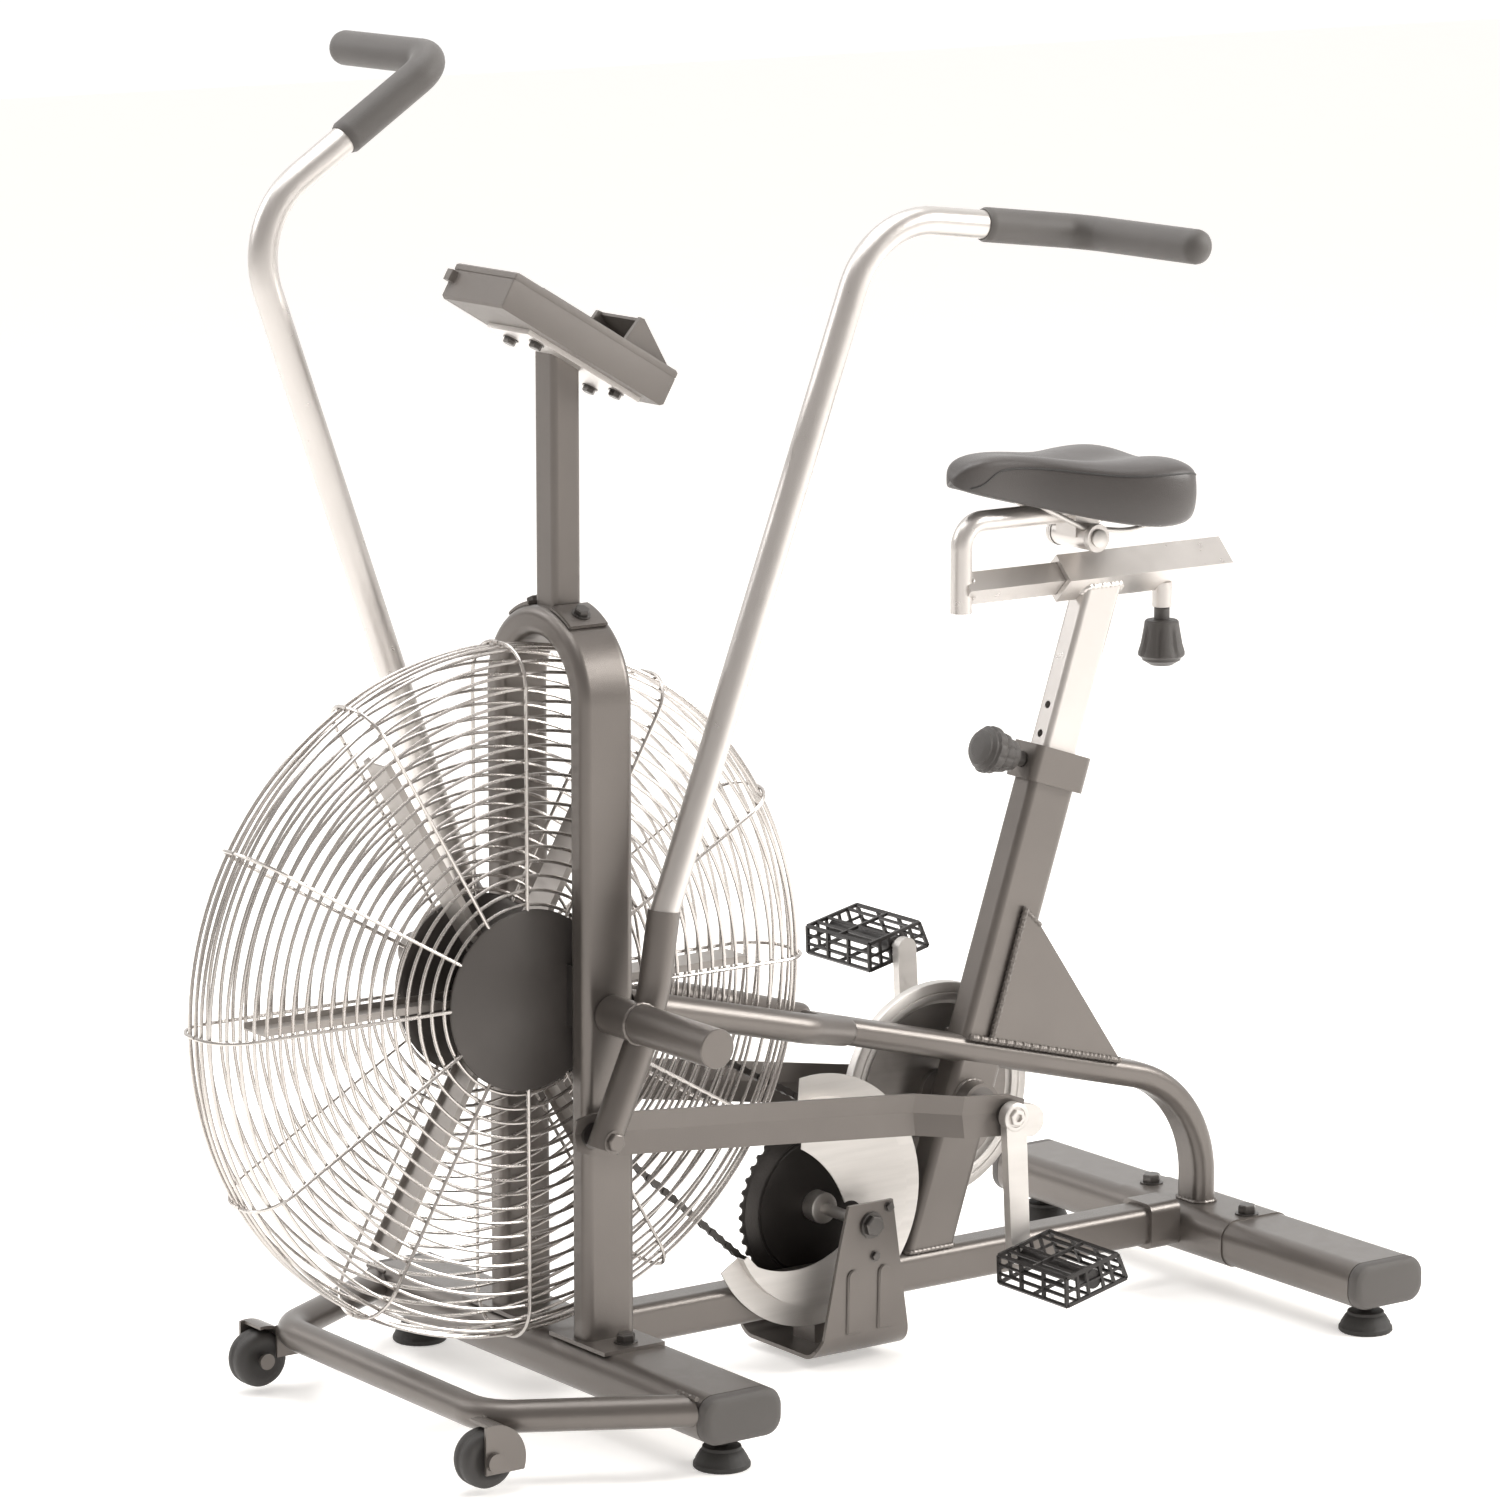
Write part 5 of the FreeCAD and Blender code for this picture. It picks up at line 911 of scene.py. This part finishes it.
def frame_fasteners():
    """Hexagonal bolts with washers on the plates, sleeve, arch and jackshaft bracket."""
    shape = Shape()
    wheel = joint_place("wheel_left_spin")
    for side in SIDES.values():
        out = Y_AXIS * side
        over_arch = Vector((0, side * math.sin(0.45), math.cos(0.45)))
        for place, axis, across, high in (
                (mm(-218, side * 106, 84), Z_AXIS, 16, 9.5),
                (mm(579.5, side * 78, 81.4), Z_AXIS, 17, 10.5),
                (mm(101, side * 70, 142.5), out, 19, 8.5),
                (mm(123, side * 70, 158), out, 8, 4),
                (mm(106, side * 70, 110), out, 8, 4),
                (ARCH + over_arch * 90.4 * MM, over_arch, 13, 6.5),
                (Vector((wheel.x, side * 221.4 * MM, wheel.z)), out, 10, 4.5)):
            hex_head(shape, place, axis, across, high)
    shape.to_object("frame_fasteners", "bolt_steel", "frame", ("frame_bolts",), "bolt_steel")


def arch_plates():
    """Curved steps either side of the console post, following the arch."""
    shape = Shape()
    half_x, start, end, steps = 22 * MM, 0.205, 0.64, 8
    corners = ((86.2, -1), (86.2, 1), (90.2, 1), (90.2, -1))    # distance from the arch's middle, end
    for side in SIDES.values():
        rings = []
        for k in range(steps + 1):
            angle = start + (end - start) * k / steps
            up = Vector((0, side * math.sin(angle), math.cos(angle)))
            rings.append([ARCH + up * r * MM + X_AXIS * sx * half_x for r, sx in corners])
        shape.rings(rings)
    shape.to_object("arch_plates", "frame_paint", "frame", (), "frame_paint", bevel=1.0 * MM)


def bracket_ribs():
    """Pressed ribs on the outer cheeks of the jackshaft bracket."""
    shape = Shape()
    foot_z, top_z, half = 34, 92, 8
    for side in SIDES.values():
        for x in (79, 117):
            points = [(x + half * math.cos(math.pi * k / 12), top_z + half * math.sin(math.pi * k / 12))
                      for k in range(13)]
            points += [(x - half - 1, foot_z), (x + half + 1, foot_z)]
            near = [mm(px, side * 70, pz) for px, pz in points]
            far = [mm(x + (px - x) * 0.8, side * 72.4, top_z + (pz - top_z) * 0.97) for px, pz in points]
            shape.rings([near, far])
    shape.to_object("bracket_ribs", "frame_paint", "frame", (), "frame_paint", bevel=0.8 * MM)


def rounded_loop(x, z, half_x, half_y, corner):
    """Level path round a tube with rounded corners, on the bike's middle plane (mm)."""
    return [mm(x + px, py, z) for px, py in rounded_outline(half_x, half_y, corner, 5)]


def welds():
    """Weld beads at the frame's joints."""
    shape, bright, stem = Shape(), Shape(), Shape()

    def seat_axis(z):
        """X of the seat tube's axis at a height."""
        return 215.5 + math.tan(math.radians(18.4)) * (z - 85)

    for side in SIDES.values():
        cheek = side * 20.2
        weld_bead(shape, [mm(332, cheek, 427), mm(288, cheek, 294)], 3.4)
        weld_bead(shape, [mm(262, side * 20.4, 301.5), mm(456, cheek, 250.8)], 3.4)
        weld_bead(shape, [mm(331, side * 19, 424.5), mm(351, side * 19, 405.5)], 2.6)
        weld_bead(shape, [mm(-262.5, side * 256, 79), mm(-262.5, side * 288, 79)], 2.4)
        weld_bead(shape, circle_path(mm(-191.2, side * 72, 406), 15.3 * MM, X_AXIS, 48), 1.8, closed=True)
        shell_end = Vector((CRANK.x, side * 17.4 * MM, CRANK.z))
        weld_bead(shape, circle_path(shell_end, 22.4 * MM, Y_AXIS, 60), 1.8, closed=True)
    weld_bead(shape, rounded_loop(seat_axis(87), 88, 30.8, 17.2, 8), 2.4, closed=True)
    weld_bead(shape, rounded_loop(576, 82.6, 13.8, 20.3, 10), 2.2, closed=True)
    shape.to_object("weld_beads", "frame_paint", "frame", (), "frame_paint")
    line = rounded_loop(seat_axis(740), 0, 24.2, 14.6, 6)
    weld_bead(bright, [mm(0, 0, 731.6 + abs(p.y) / MM) + p for p in line], 3.2, closed=True)
    bright.to_object("slider_weld", "silver_paint", "seat_post", (), "silver_paint")
    stem_line = [mm(271, y, 755.5 + (16.6 - abs(y)) * up) for up, across in
                 ((1, range(-8, 9, 4)), (-1, range(8, -9, -4))) for y in across]
    weld_bead(stem, stem_line, 2.2, closed=True)
    stem.to_object("stem_weld", "silver_paint", "carriage", (), "silver_paint")


CONSOLE_TILT = Quaternion(Y_AXIS, math.radians(30.4))


def on_console(along, across, up):
    """Point of the console: along, across and above the middle of its housing (mm)."""
    return mm(-216.1, 0, 1043.6) + CONSOLE_TILT @ mm(along, across, up)


def console_shell():
    """Housing with softened edges, a parting groove and the tablet ledge between its cheeks."""
    shell = Shape()
    half_x, half_y, corner = 105.5, 52, 1.6
    levels = [(-18.5, 0.975), (-16, 1.0), (10, 1.0), (11, 0.992), (12, 1.0), (16.5, 1.0), (18.4, 0.98)]
    rings = []
    for up, share in levels:
        outline = rounded_outline((half_x - corner) * share + corner, (half_y - corner) * share + corner,
                                  corner, 4)
        rings.append([on_console(x, y, up) for x, y in outline])
    shell.rings(rings)
    wedge = [(43.5, 18.2), (49.5, 47), (54, 47.4), (104.5, 18.2)]
    ledge = [(54, 44.5), (54, 47.4), (104.5, 20), (104.5, 18.2)]
    for outline, start, width in ((wedge, -38, 5), (wedge, 33, 5), (ledge, -33, 66)):
        shell.prism([on_console(x, start, z) for x, z in outline], CONSOLE_TILT @ mm(0, width, 0))
    shell.box(on_console(-108.5, 46, 3), mm(8, 9, 11), CONSOLE_TILT)
    shell.to_object("console_shell", "console_plastic", "frame", ("console_housing",),
                    "console_plastic", crease=35, bevel=0.6 * MM)


def console_screen():
    """Display glass in a raised bezel."""
    def rectangle(low, high, half, up):
        return [on_console(x, y, up) for x, y in ((low, -half), (high, -half), (high, half), (low, half))]

    bezel, glass = Shape(), Shape()
    bezel.tube(rectangle(-65, 24.5, 42, 18.6), 6 * MM, 4, True,
               [(-0.5, -0.3), (0.5, -0.3), (0.5, 0.3), (-0.5, 0.3)])
    bezel.to_object("screen_bezel", "cap_plastic", "frame", (), "console_plastic",
                    bevel=0.6 * MM)
    glass.prism(rectangle(-61.5, 21.5, 38.5, 18.5), CONSOLE_TILT @ mm(0, 0, 1.2))
    glass.to_object("screen_glass", "display", "frame", ("console_display",), "display",
                    bevel=0.4 * MM)


def console_fittings():
    """Start and stop buttons on top and the four bolts of the bracket underneath."""
    for name, across in (("start", -24), ("stop", 24)):
        cap = Shape()
        cap.lathe([(0, 0), (6, 0), (6, 3.6), (5.2, 4.6), (2.5, 4.2), (0, 4.1)],
                  on_console(34, across, 16.3), CONSOLE_TILT @ Z_AXIS, 28)
        cap.to_object(f"button_{name}_cap", "button_plastic", f"button_{name}",
                      (f"button_{name}",), "button_plastic")
    bolts = Shape()
    for along in (-34, 70):
        for across in (-22, 22):
            hex_head(bolts, on_console(along, across, -23.4), CONSOLE_TILT @ -Z_AXIS, 11, 6)
    bolts.to_object("console_bolts", "bolt_steel", "frame", (), "bolt_steel")


add_camera()
paint_frame_nodes()
for side_name, side_sign in SIDES.items():
    cage_wires(side_name, side_sign)
    pedal(side_name, side_sign)
    rod(side_name, side_sign)
    swinging_arm(side_name, side_sign)
    grip(side_name, side_sign)
    transport_wheel(side_name)
hub_caps()
fan_rotor()
chain("fan_chain", JACK, 89.8 * MM, FAN, 38.8 * MM, FAN_CHAIN_Y)
chain("crank_chain", CRANK, 92.8 * MM, JACK, 32.3 * MM, CRANK_CHAIN_Y)
jackshaft()
chainring()
crank_guard()
crank_bolts()
saddle()
knob("height_knob", mm(340.6, 0, 575), HEIGHT_KNOB, 10, 0.07)
knob("slide_knob", slide_knob_base(), SLIDE_KNOB, 8, 0.09)
levelling_feet()
end_caps()
frame_fasteners()
arch_plates()
bracket_ribs()
welds()
console_shell()
console_screen()
console_fittings()
add_stage()
